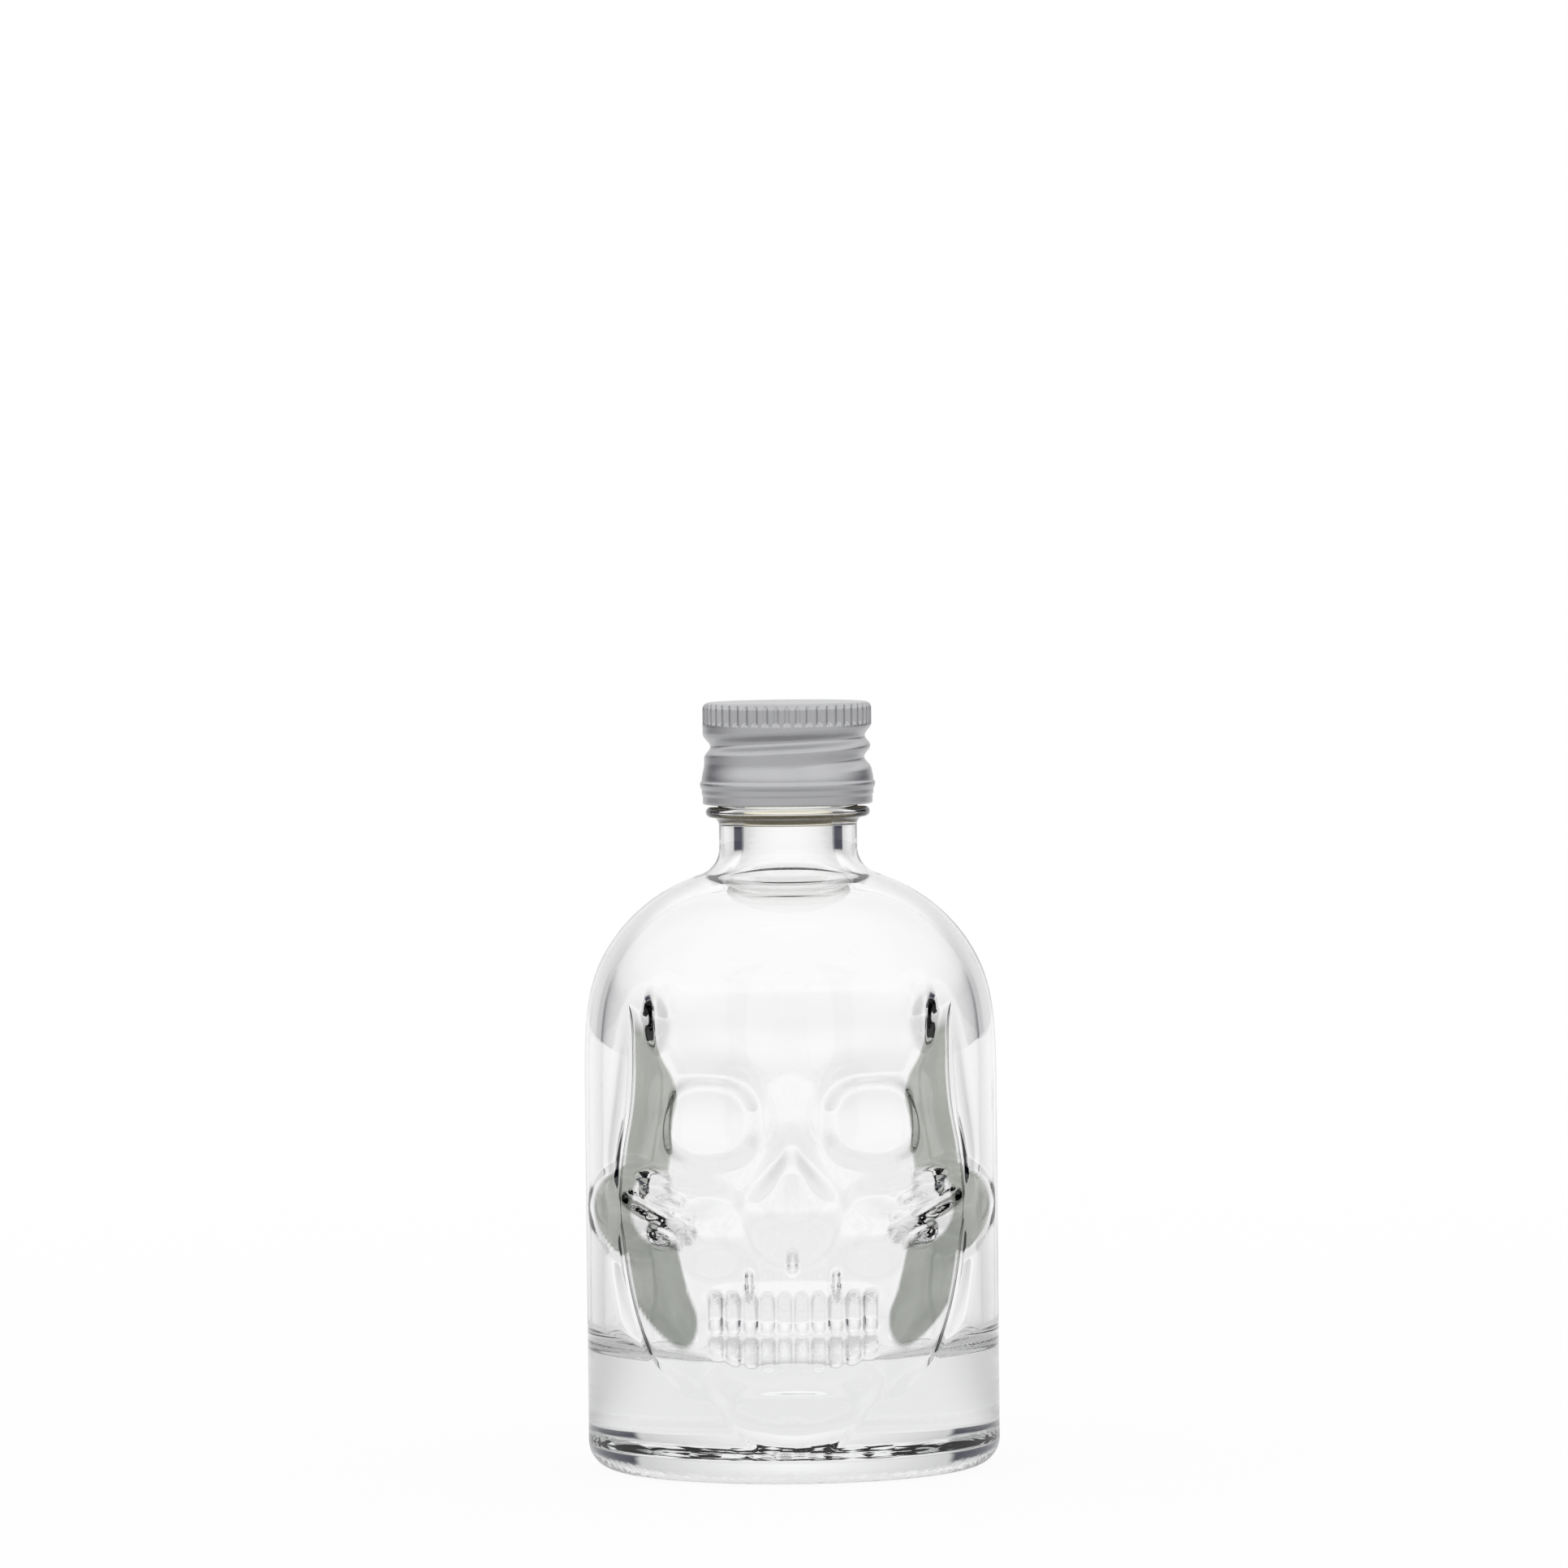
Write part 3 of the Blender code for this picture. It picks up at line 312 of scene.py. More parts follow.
def jaw(across, up):
    """A ridge along the jaw's line: its depth less the distance from the line to a power."""
    low_start, low_end, high_start, high_end = JAW_RANGE
    ridge = JAW_DEPTH - JAW_SLOPE * np.abs(across - curve_at(JAW_LINE_SHARES, up)) ** JAW_POWER
    low_drop = JAW_LOW_DROP * (1 - ramp(up, low_start, low_end))
    return ridge - low_drop - JAW_HIGH_DROP * ramp(up, high_start, high_end)


# %% Side walls and channel
SLANT_STEP = 0.01
CHANNEL_RIM_SHARE = 0.008
CHIN_RIM_SHARE = 0.05
CHIN_RIM_RANGE = (0.10, 0.36)


def side_wall(across, up):
    """A straight line from the face's edge back to the bottom of the channel."""
    edge = curve_at(FACE_EDGE_SHARES, up)
    foot = curve_at(CHANNEL_LINE_SHARES, up)
    front = half_chord(1, edge)
    back = half_chord(1, foot) * curve_at(CHANNEL_DEPTH_SHARES, up)
    return front + (edge - across) * (front - back) / (foot - edge)


def channel_rim(up):
    """Width across of the rim: the same width at right angles to its line, however the line slants."""
    above = curve_at(CHANNEL_LINE_SHARES, up + SLANT_STEP)
    slant = (above - curve_at(CHANNEL_LINE_SHARES, up - SLANT_STEP)) / (2 * SLANT_STEP)
    width = CHANNEL_RIM_SHARE + CHIN_RIM_SHARE * (1 - ramp(up, *CHIN_RIM_RANGE))
    return width * np.sqrt(1 + (slant * BODY_RADIUS / FACE_HEIGHT) ** 2)


# %% Pits and folds, the finest carving
TEMPLE = Feature(0.645, 0.985, 0.085, 0.09, 1.5, 1.0, 0.12)
PIT = Feature(0.655, 0.63, 0.085, 0.045, 2.4, 0.7, 0.10)
PIT_LOW = Feature(0.60, 0.53, 0.11, 0.035, 2.4, 0.7, 0.10)
PITS = (TEMPLE, PIT, PIT_LOW)
FOLDS = (
    ((0.77, 0.60), (0.65, 0.573), 0.055, 0.12),
    ((0.65, 0.573), (0.50, 0.53), 0.055, 0.13),
    ((0.73, 0.645), (0.60, 0.648), 0.030, 0.06),
    ((0.60, 0.615), (0.53, 0.60), 0.030, 0.06),
    ((0.66, 0.53), (0.54, 0.505), 0.026, 0.07),
    ((0.56, 0.575), (0.48, 0.565), 0.026, 0.05),
    ((0.207, 0.445), (0.207, 0.40), 0.026, 0.05),
)
LOBE = Feature(0.72, 0.572, 0.245, 0.105, 2.0, 0.06, 1.0)
RING_WIDTH, RING_DEPTH, RING_FROM = 0.13, 0.012, (0.66, 0.74)


def folds(across, up):
    """Furrows along short straight lines, deepest on the line, under the arch and above the teeth, and a
    shallow one round the arch's outer end."""
    high = up * FACE_HEIGHT / BODY_RADIUS
    depth = np.zeros_like(across)
    for (a0, u0), (a1, u1), width, deep in FOLDS:
        run = np.array([a1 - a0, (u1 - u0) * FACE_HEIGHT / BODY_RADIUS])
        off_a, off_h = across - a0, high - u0 * FACE_HEIGHT / BODY_RADIUS
        along = np.clip((off_a * run[0] + off_h * run[1]) / (run @ run), 0, 1)
        away = np.hypot(off_a - along * run[0], off_h - along * run[1])
        depth = np.maximum(depth, deep * (1 - ramp(away, 0, width)))
    reach = np.hypot((across - LOBE.across) / LOBE.half_width, (up - LOBE.up) / LOBE.half_height)
    ring = (1 - ramp(np.abs(reach - 1), 0, RING_WIDTH)) * ramp(across, *RING_FROM)
    return depth + RING_DEPTH * ring


# %% The whole front
FACE_BLEND = 0.054
CHANNEL_BLEND = 0.036
ARCH_BLEND = 0.04
RELIEF_FADE = (0.99, 1.09)
CHIN_FADE = (0.07, 0.19)
CAVITY_FACE_INSET = 0.045


def relief(across, up, size, fine):
    """Depth forward of the axis: face cut by its side walls, laid over the channel, never past the round
    body. fine is 1 outside; the cavity has less of each hollow, and no teeth or folds."""
    outside = fine == 1
    round_body = half_chord(size, across)
    edge = curve_at(FACE_EDGE_SHARES, up)
    foot = curve_at(CHANNEL_LINE_SHARES, up)
    hollows = lower_face(up) + nose(across, up) * fine + CAVITY_FACE_INSET * (not outside)
    for feature in SOFT_FEATURES:
        hollows = hollows + feature.depth * swell(across, up, feature) * fine
    past = ramp(across, edge, foot)
    face = np.minimum(half_chord(1, across) - hollows * (1 - past), round_body) + teeth(across, up) * outside
    face = face + 2 * FACE_BLEND * past
    floor = curve_at(CHANNEL_DEPTH_SHARES, up)
    channel = round_body * (floor + (1 - floor) * ramp(across, foot, foot + channel_rim(up)))
    wall = np.maximum(soft_most(channel, side_wall(across, up), CHANNEL_BLEND), channel)
    depth = soft_least(wall, face, FACE_BLEND)
    depth = soft_most(depth, jaw(across, up), FACE_BLEND)
    depth = soft_most(depth, arch(across, up), ARCH_BLEND)
    for feature in PITS:
        depth = depth - feature.depth * swell(across, up, feature) * fine**2
    if outside:
        depth = depth - folds(across, up)
    lacking = np.maximum(round_body - depth, 0)
    return round_body - lacking * (1 - ramp(up, *RELIEF_FADE)) * ramp(up, *CHIN_FADE)


def outer_depth(x, z):
    """The relief in metres, the same on both sides of the middle."""
    size = body_radius(z) / BODY_RADIUS
    return relief(np.abs(x) / BODY_RADIUS, z / FACE_HEIGHT, size, 1) * BODY_RADIUS


print("the nose lies", round(1000 * (BODY_RADIUS - float(outer_depth(np.zeros(1), 0.029)[0])), 2), "mm deep")

# %% [markdown]
# ## The wall behind the face
# Blown glass keeps about the same wall everywhere, so the inside follows the face, but rounder. A Solidify
# modifier would cross itself in the narrow hollows. A ball as thick as the wall, rolled along the outside,
# never does: what it leaves is the inside.

# %% Depth of the inside
CAVITY_FINE_SHARE = 0.55
BALL_SHARES = np.linspace(-1, 1, 11)


def inner_depth(x, z):
    """What the ball leaves: the least, over its offsets, of the outside's depth there less the ball's own
    height."""
    depth = np.full(np.shape(x), BODY_RADIUS)
    for rise in BALL_SHARES:
        height = z + rise * WALL
        size = body_radius(height) / BODY_RADIUS
        for side in BALL_SHARES:
            left = 1 - side**2 - rise**2
            if left < 0:
                continue
            across = np.abs(np.abs(x) + side * WALL) / BODY_RADIUS
            outside = relief(across, height / FACE_HEIGHT, size, CAVITY_FINE_SHARE) * BODY_RADIUS
            depth = np.minimum(depth, outside - WALL * math.sqrt(left))
    return depth


# %% [markdown]
# ## Columns and rows of the glass
# Light shows every crease in glass, so the points have to lie where the form turns. Subdividing an even grid
# would need far more of them. On the front of the outside the columns follow the face's edge, the channel's
# line and its rim from row to row instead. The inside has no sharp line, so its columns lie evenly round it,
# and its depths are smoothed, as blowing does.

# %% Columns round the bottle
FACE_COLUMNS, WALL_COLUMNS, RIM_COLUMNS, SIDE_COLUMNS, BACK_COLUMNS = 56, 20, 7, 22, 56
FRONT_COLUMNS = 2 * (FACE_COLUMNS + WALL_COLUMNS + RIM_COLUMNS + SIDE_COLUMNS) + 1
EDGE_LIMITS = (0.50, 0.84)
LINE_LIMITS = (0.60, 0.92)
BACK_TURN = np.linspace(0, math.pi, BACK_COLUMNS + 1)[1:-1]
FRONT_TURN = np.linspace(-math.pi, 0, FRONT_COLUMNS)
TURN = np.concatenate([FRONT_TURN, BACK_TURN])
print("columns round the glass:", len(TURN))


def within(value, limits, radius):
    """A place across, held between two shares of the row's radius."""
    low, high = limits
    return np.clip(value, low * radius, high * radius)


def evenly(count):
    """Shares of a stretch at the ends of its equal steps, without its start."""
    return np.linspace(0, 1, count + 1)[1:]


def front_places(z, radius):
    """Places across the front, from -radius to radius: four stretches on each side of the middle, with
    equal steps, or past the rim with equal turns."""
    up = z / FACE_HEIGHT
    edge = within(curve_at(FACE_EDGE_SHARES, up) * BODY_RADIUS, EDGE_LIMITS, radius)
    foot = within(curve_at(CHANNEL_LINE_SHARES, up) * BODY_RADIUS, LINE_LIMITS, radius)
    rim = np.minimum(foot + channel_rim(up) * BODY_RADIUS, (1 + LINE_LIMITS[1]) / 2 * radius)
    face = edge * np.linspace(0, 1, FACE_COLUMNS + 1)
    wall = edge + (foot - edge) * evenly(WALL_COLUMNS)
    step = foot + (rim - foot) * evenly(RIM_COLUMNS)
    start = np.arcsin(rim / radius)
    past = radius * np.sin(start + (math.pi / 2 - start) * evenly(SIDE_COLUMNS))
    half = np.concatenate([face, wall, step, past], axis=1)
    return np.concatenate([-half[:, ::-1], half[:, 1:]], axis=1)


# %% Rows of the glass
def turned_rows(profile):
    """Plain round rows at the distances and heights of a profile."""
    radius, z = profile[:, :1], profile[:, 1:]
    return np.stack([radius * np.cos(TURN), radius * np.sin(TURN), z + 0 * TURN], axis=-1)


def smoothed(depth, times):
    """Each value becomes a quarter of its two neighbours and half of itself, along rows and then columns."""
    for _ in range(times):
        depth[1:-1] = (depth[:-2] + 2 * depth[1:-1] + depth[2:]) / 4
        depth[:, 1:-1] = (depth[:, :-2] + 2 * depth[:, 1:-1] + depth[:, 2:]) / 4
    return depth


def relief_rows(profile, places, depth, times):
    """The same rows with their front half at given places. What the depths there lack to the round body is
    smoothed a number of times, and taken off it."""
    rows = turned_rows(profile)
    radius = profile[:, :1]
    z = profile[:, 1:] + 0 * places
    plain = half_chord(radius, places)
    front = plain - np.maximum(smoothed(plain - depth(places, z), times), 0)
    rows[:, :FRONT_COLUMNS, 0] = places
    rows[:, :FRONT_COLUMNS, 1] = -np.maximum(front, 0)
    return rows


# %% [markdown]
# ## The thread
# The ridge on the finish and the groove in the cap wind along the same helix, half a pitch apart. A curve
# with a bevel could be wound round the neck and joined to it. Here the ridge is added to the radius of the
# rows, so that glass and thread are one surface.

# %% The helix, and the glass thread on it
THREAD_PITCH = 0.0024
THREAD_RISE = 0.0008
THREAD_HALF_WIDTH = 0.0008
THREAD_CREST_SHARE = 0.3
THREAD_TURNS, THREAD_FADE = (-0.95, 0.72), 0.08
GROOVE_HEIGHT = LIP_HEIGHT - 0.0044


def wound(turn, z, start, end, fade):
    """For each lap of a helix, how far z lies from it in pitches, and how much of the helix is there."""
    for lap in range(math.floor(start), math.ceil(end) + 1):
        place = turn / math.tau % 1 + lap
        there = ramp(place, start, start + fade) * (1 - ramp(place, end - fade, end))
        yield (z - GROOVE_HEIGHT) / THREAD_PITCH - place, there


def finish_rows(profile):
    """Rows of the finish with the thread's rounded ridge, half a pitch from the cap's groove."""
    rows = turned_rows(profile)
    z = rows[..., 2]
    ridge = np.zeros_like(z)
    for phase, there in wound(TURN, z, *THREAD_TURNS, THREAD_FADE):
        near = np.abs(phase - 1 / 2) * THREAD_PITCH / THREAD_HALF_WIDTH
        ridge = np.maximum(ridge, THREAD_RISE * there * (1 - ramp(near, THREAD_CREST_SHARE, 1)))
    radius = profile[:, :1] + ridge
    rows[..., 0] = radius * np.cos(TURN)
    rows[..., 1] = radius * np.sin(TURN)
    return rows


print("thread turns:", round(THREAD_TURNS[1] - THREAD_TURNS[0], 2))

# %% [markdown]
# ## The glass
# The mould leaves round corners and fillets wherever two forms of the outside meet, and the bore runs into
# the cavity in a long curve. Bevels on a finished mesh would give nearly that. Here each is an arc of a
# profile, from the hollow under the base up to the lip, and down the bore to the cavity's floor, so its
# radius is the one that the part has.


# %% Helpers for profiles
def neck_joint(shoulder_radius, centre_radius, neck_radius, fillet):
    """The fillet between shoulder and neck: its centre, and its angle where it leaves the shoulder."""
    across = neck_radius + fillet - centre_radius
    rise = math.sqrt((shoulder_radius + fillet) ** 2 - across**2)
    return (neck_radius + fillet, SIDE_TOP + rise), math.degrees(math.atan2(rise, across))


def straight(radius, low, high, gap):
    """Heights from low to high at most gap apart, with the radius that a formula gives them."""
    z = np.linspace(low, high, int(math.ceil(abs(high - low) / gap)) + 1)
    return np.column_stack([radius(z), z])


# %% Profile of the base, the side and the shoulder
BASE_CORNER_RADIUS, FOOT_WIDTH, BASE_RISE = 0.0030, 0.0040, 0.0012
NECK_RADIUS, NECK_FILLET_RADIUS = 0.00745, 0.0030
RELIEF_TOP = 1.22 * FACE_HEIGHT
ROW_GAP = 0.00036
RECESS_STEPS, CORNER_STEPS, SHOULDER_STEPS, NECK_STEPS = 8, 12, 12, 10

foot_radius = BODY_RADIUS - BASE_CORNER_RADIUS
quarter = np.linspace(0, math.pi / 2, RECESS_STEPS + 1)[1:]
recess = np.column_stack([(foot_radius - FOOT_WIDTH) * np.sin(quarter), BASE_RISE * np.cos(quarter)])
corner = arc((foot_radius, BASE_CORNER_RADIUS), BASE_CORNER_RADIUS, -90, 0, CORNER_STEPS)
side = straight(body_radius, BASE_CORNER_RADIUS, RELIEF_TOP, ROW_GAP)[1:]
centre = BODY_RADIUS - SHOULDER_RADIUS
fillet, fillet_angle = neck_joint(SHOULDER_RADIUS, centre, NECK_RADIUS, NECK_FILLET_RADIUS)
shoulder_start = math.degrees(math.asin((RELIEF_TOP - SIDE_TOP) / SHOULDER_RADIUS))
shoulder = arc((centre, SIDE_TOP), SHOULDER_RADIUS, shoulder_start, fillet_angle, SHOULDER_STEPS)[1:]
neck = arc(fillet, NECK_FILLET_RADIUS, fillet_angle + 180, 180, NECK_STEPS)[1:]
print("rows of the side:", len(side), "and the neck's fillet is centred at", round(fillet[1], 4))

# %% Profile of the collar, the finish and the lip
COLLAR_RADIUS, COLLAR_BOTTOM, COLLAR_HEIGHT, COLLAR_EDGE_RADIUS = 0.00885, 0.0701, 0.0011, 0.0005
FINISH_RADIUS, BORE_RADIUS, LIP_EDGE_RADIUS = 0.00755, 0.0050, 0.0005
FINISH_ROW_GAP = 0.00025
COLLAR_STEPS, EDGE_STEPS, LIP_STEPS = 8, 4, 6

collar_top = COLLAR_BOTTOM + COLLAR_HEIGHT
collar_middle = COLLAR_RADIUS - COLLAR_EDGE_RADIUS
collar_fillet = COLLAR_RADIUS - COLLAR_EDGE_RADIUS - NECK_RADIUS
lip_middle = LIP_HEIGHT - LIP_EDGE_RADIUS
collar = np.concatenate([
    arc((NECK_RADIUS + collar_fillet, COLLAR_BOTTOM - collar_fillet), collar_fillet, 180, 90, COLLAR_STEPS),
    arc((collar_middle, COLLAR_BOTTOM + COLLAR_EDGE_RADIUS), COLLAR_EDGE_RADIUS, -90, 0, EDGE_STEPS)[1:],
    arc((collar_middle, collar_top - COLLAR_EDGE_RADIUS), COLLAR_EDGE_RADIUS, 0, 90, EDGE_STEPS),
])
finish = straight(lambda z: np.full_like(z, FINISH_RADIUS), collar_top, lip_middle, FINISH_ROW_GAP)
lip = arc((FINISH_RADIUS - LIP_EDGE_RADIUS, lip_middle), LIP_EDGE_RADIUS, 0, 90, LIP_STEPS)[1:]
inner_lip = arc((BORE_RADIUS + LIP_EDGE_RADIUS, lip_middle), LIP_EDGE_RADIUS, 90, 180, LIP_STEPS)
print("rows of the finish:", len(finish))

# %% Profile of the bore and the cavity
BORE_FILLET_RADIUS = 0.0052
BASE_THICKNESS, CAVITY_CORNER_RADIUS = 0.0125, 0.0030
CAVITY_ROW_GAP = 0.0007
BORE_STEPS, CAVITY_CORNER_STEPS = 14, 10

inner_shoulder = SHOULDER_RADIUS - WALL
widest = BODY_RADIUS - WALL
centre = widest - inner_shoulder
inner_fillet, inner_angle = neck_joint(inner_shoulder, centre, BORE_RADIUS, BORE_FILLET_RADIUS)
bore = arc(inner_fillet, BORE_FILLET_RADIUS, 180, inner_angle + 180, BORE_STEPS)
cavity_top = SIDE_TOP + inner_shoulder * math.sin(math.radians(inner_angle))
cavity_low = BASE_THICKNESS + CAVITY_CORNER_RADIUS
cavity = straight(cavity_radius, cavity_top, cavity_low, CAVITY_ROW_GAP)[1:-1]
corner_centre = (widest - CAVITY_CORNER_RADIUS, cavity_low)
cavity_corner = arc(corner_centre, CAVITY_CORNER_RADIUS, 0, -90, CAVITY_CORNER_STEPS)
print("cavity from", round(BASE_THICKNESS, 4), "to", round(cavity_top, 4))

# %% The glass surface
CAVITY_SMOOTHING = 12
outside = np.concatenate([corner, side, shoulder])
inside = np.concatenate([cavity, cavity_corner])
glass_rows = np.concatenate([
    turned_rows(recess),
    relief_rows(outside, front_places(outside[:, 1:], outside[:, :1]), outer_depth, 0),
    turned_rows(np.concatenate([neck, collar])),
    finish_rows(finish),
    turned_rows(np.concatenate([lip, inner_lip, bore])),
    relief_rows(inside, inside[:, :1] * np.cos(FRONT_TURN), inner_depth, CAVITY_SMOOTHING),
])
glass = closed_rows("glass_clear", glass_rows, (0, 0, BASE_RISE), (0, 0, BASE_THICKNESS))

# %% [markdown]
# ## Where the glass is painted grey
# Steep walls of glass bend darker, greenish surroundings into view, and here a painted grey-green shade
# stands for that: on the steep side walls of the skull and the outer ends of its cheekbones, but not on the
# bright knot of folds under each arch. A texture could be painted, but a mask worked out on the points of the
# outside follows the same lines as the shape, and the glass material reads it.

# %% Mark the places that get painted shade
EDGE_SOFT = 0.015
EDGE_RANGE = (0.28, 0.37, 0.95, 1.0)
LOBE_FROM = (0.70, 0.78)
KNOT = Feature(0.625, 0.583, 0.155, 0.083, 2.2, 0.10, 1.0)


# Where the glass gets its painted grey-green shade.
def painted_shade_mask(across, up):
    """The band between the face's edge and the channel's line, with a round lower end, and the outer part
    of an ellipse; both less the knot."""
    edge = curve_at(FACE_EDGE_SHARES, up)
    foot = curve_at(CHANNEL_LINE_SHARES, up)
    low_start, low_end, high_start, high_end = EDGE_RANGE
    band = ramp(across, edge, edge + EDGE_SOFT) * (1 - ramp(across, foot - EDGE_SOFT / 2, foot))
    end = low_start + (low_end - low_start) * (2 * (across - edge) / (foot - edge) - 1) ** 2
    band = band * ramp(up, end, end + EDGE_SOFT) * (1 - ramp(up, high_start, high_end))
    lobe = swell(across, up, LOBE) * ramp(across, *LOBE_FROM)
    return np.maximum(band, lobe) * (1 - swell(across, up, KNOT))


rows_outside = slice(len(recess), len(recess) + len(outside))
mask = np.zeros(glass_rows.shape[:2])
front = glass_rows[rows_outside, :FRONT_COLUMNS]
mask[rows_outside, :FRONT_COLUMNS] = painted_shade_mask(np.abs(front[..., 0]) / BODY_RADIUS, front[..., 2] / FACE_HEIGHT)
# The points kept here get the painted shade in the glass's colour.
mark(glass, "painted_shade_mask", np.concatenate([[0], mask.ravel(), [0]]))

# %% [markdown]
# ## The cap
# The real one is drawn from thin aluminium sheet. Upright knurls are pressed in under its top, a thread is
# rolled into its side against the glass, and a bead and a plain hem end it. Knurls could be an array of
# cutters, but as depths taken off the radius they run out softly, as pressed ones do.

# %% Sizes of the cap
cap_low, cap_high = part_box("cap_shell")
CAP_TOP, HEM_BOTTOM = float(cap_high[2]), float(cap_low[2])
CAP_RADIUS, BEAD_RADIUS, FLARE_RADIUS, HEM_RADIUS = 0.0091, 0.00945, 0.00926, 0.00915
CAP_WALL, CAP_CORNER_RADIUS = 0.0003, 0.0007
GROOVE_BOTTOM_RADIUS, GROOVE_CREST_RADIUS = 0.0083, 0.00896
GROOVE_TURNS, GROOVE_FADE = (-0.25, 1.25), 0.18
KNURL_COUNT, KNURL_DEPTH, KNURL_HEIGHT = 48, 0.0003, 0.0023
KNURL_TOP = CAP_TOP - CAP_CORNER_RADIUS / 2
KNURL_BOTTOM = KNURL_TOP - KNURL_HEIGHT
BAND_BOTTOM = KNURL_BOTTOM - 0.0006
BAND_FALL, FLARE_HEIGHT = 0.0008, 0.0020
HEM_STEP, HEM_STEP_SOFT = HEM_BOTTOM + 0.0010, 0.0001
BEAD_BOTTOM = HEM_BOTTOM + 0.0017
BEAD_TOP = BEAD_BOTTOM + 0.0008
CAP_COLUMNS = KNURL_COUNT * 8
CAP_TURN = np.arange(CAP_COLUMNS) / CAP_COLUMNS * math.tau
print("cap from", round(HEM_BOTTOM, 4), "to", round(CAP_TOP, 4))


# %% The cap's side
def cap_side_radius(z):
    """Plain radius against height: knurled band, step in, thread zone, flare, bead and hem."""
    band_share = ramp(z, BAND_BOTTOM - BAND_FALL, BAND_BOTTOM)
    thread_zone = GROOVE_CREST_RADIUS + (CAP_RADIUS - GROOVE_CREST_RADIUS) * band_share
    flare = FLARE_RADIUS + (thread_zone - FLARE_RADIUS) * ramp(z, BEAD_TOP, BEAD_TOP + FLARE_HEIGHT)
    near = np.abs(z - (BEAD_TOP + BEAD_BOTTOM) / 2) / (BEAD_TOP - BEAD_BOTTOM) * 2
    bead = (BEAD_RADIUS - FLARE_RADIUS) * np.sqrt(np.clip(1 - near**2, 0, 1))
    hem_share = 1 - ramp(z, HEM_STEP - HEM_STEP_SOFT, HEM_STEP + HEM_STEP_SOFT)
    return flare + bead - (FLARE_RADIUS - HEM_RADIUS) * hem_share


def pressed_thread(z):
    """Depth of the rolled thread: half of one plus the cosine of the distance from the helix in pitches."""
    depth = np.zeros(np.broadcast(CAP_TURN, z).shape)
    for phase, there in wound(CAP_TURN, z, *GROOVE_TURNS, GROOVE_FADE):
        depth = np.maximum(depth, there * (1 + np.cos(math.tau * np.clip(phase, -1 / 2, 1 / 2))) / 2)
    return depth * (GROOVE_CREST_RADIUS - GROOVE_BOTTOM_RADIUS)


# %% Knurls, and rows of the cap
FURROW_EDGE = (0.3, 0.9)
KNURL_END = 0.0003
KNURL_TOP_SOFT = 0.0001
THREAD_TOP = BAND_BOTTOM + 0.001


def knurls(z):
    """Narrow furrows between broad ribs, which run out in a round end at the bottom."""
    across = np.abs(np.mod(CAP_TURN / math.tau * KNURL_COUNT, 1) - 1 / 2) * 2
    furrow = ramp(across, *FURROW_EDGE)
    reach = ramp(z, KNURL_BOTTOM + KNURL_END * furrow, KNURL_BOTTOM + KNURL_END + KNURL_END * furrow)
    fade = 1 - ramp(z, KNURL_TOP - KNURL_TOP_SOFT, CAP_TOP)
    return KNURL_DEPTH * furrow * reach * fade


def cap_rows(profile, pressed):
    """Round rows, less the thread's depth, and less the knurls' where they are pressed in."""
    z = profile[:, 1:]
    radius = profile[:, :1] - pressed_thread(z) * (z < THREAD_TOP) - (knurls(z) if pressed else 0)
    return np.stack([radius * np.cos(CAP_TURN), radius * np.sin(CAP_TURN), z + 0 * CAP_TURN], axis=-1)


# %% The cap
TOP_RINGS, CAP_CORNER_STEPS, CAP_SIDE_ROWS, HEM_STEPS = 6, 8, 103, 6
top_shares = np.linspace(0, 1, TOP_RINGS + 2)[1:-1, None]
top_rings = top_shares * [CAP_RADIUS - CAP_CORNER_RADIUS, 0] + [0, CAP_TOP]
cap_corner_centre = (CAP_RADIUS - CAP_CORNER_RADIUS, CAP_TOP - CAP_CORNER_RADIUS)
cap_corner = arc(cap_corner_centre, CAP_CORNER_RADIUS, 90, 0, CAP_CORNER_STEPS)
side_z = np.linspace(CAP_TOP - CAP_CORNER_RADIUS, HEM_BOTTOM + CAP_WALL / 2, CAP_SIDE_ROWS + 1)[1:]
cap_side = np.column_stack([cap_side_radius(side_z), side_z])
hem = arc((HEM_RADIUS - CAP_WALL / 2, HEM_BOTTOM + CAP_WALL / 2), CAP_WALL / 2, 0, -180, HEM_STEPS)[1:]
inner_z = side_z[::-1][1:]
inner_side = np.column_stack([cap_side_radius(inner_z) - CAP_WALL, inner_z])
inner_radius = CAP_RADIUS - KNURL_DEPTH - CAP_WALL
inside_top = CAP_TOP - CAP_WALL
inner_corner = arc((inner_radius - CAP_WALL, inside_top - CAP_WALL), CAP_WALL, 0, 90, EDGE_STEPS)
outer_rows = cap_rows(np.concatenate([top_rings, cap_corner, cap_side]), True)
cap_grid = np.concatenate([
    outer_rows,
    cap_rows(hem, False),
    cap_rows(inner_side[inner_z < KNURL_BOTTOM], False),
    cap_rows(np.concatenate([[(inner_radius, KNURL_BOTTOM)], inner_corner]), False),
])
cap = closed_rows("cap_aluminium", cap_grid[::-1], (0, 0, inside_top), (0, 0, CAP_TOP))
lacquered = np.arange(len(cap_grid)) >= len(outer_rows) + len(hem)
lacquer_mask = np.repeat(lacquered[::-1].astype(float), CAP_COLUMNS)
mark(cap, "inside", np.concatenate([[1], lacquer_mask, [0]]))

# %% [markdown]
# ## The liner
# A disc of foamed plastic sheet seals the cap on the lip, which presses a shallow ring into it. A cylinder
# with a bevel would do for the disc, but the ring needs rows of its own, so it is a profile as well.

# %% Profile of the liner
liner_low, liner_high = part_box("cap_liner")
LINER_RADIUS = float(liner_high[0] - liner_low[0]) / 2
LINER_EDGE = 0.00012
LINER_DENT = 0.0001
DENT_EDGE = (0.7, 1.1)
LINER_RINGS, LINER_COLUMNS = 39, 128


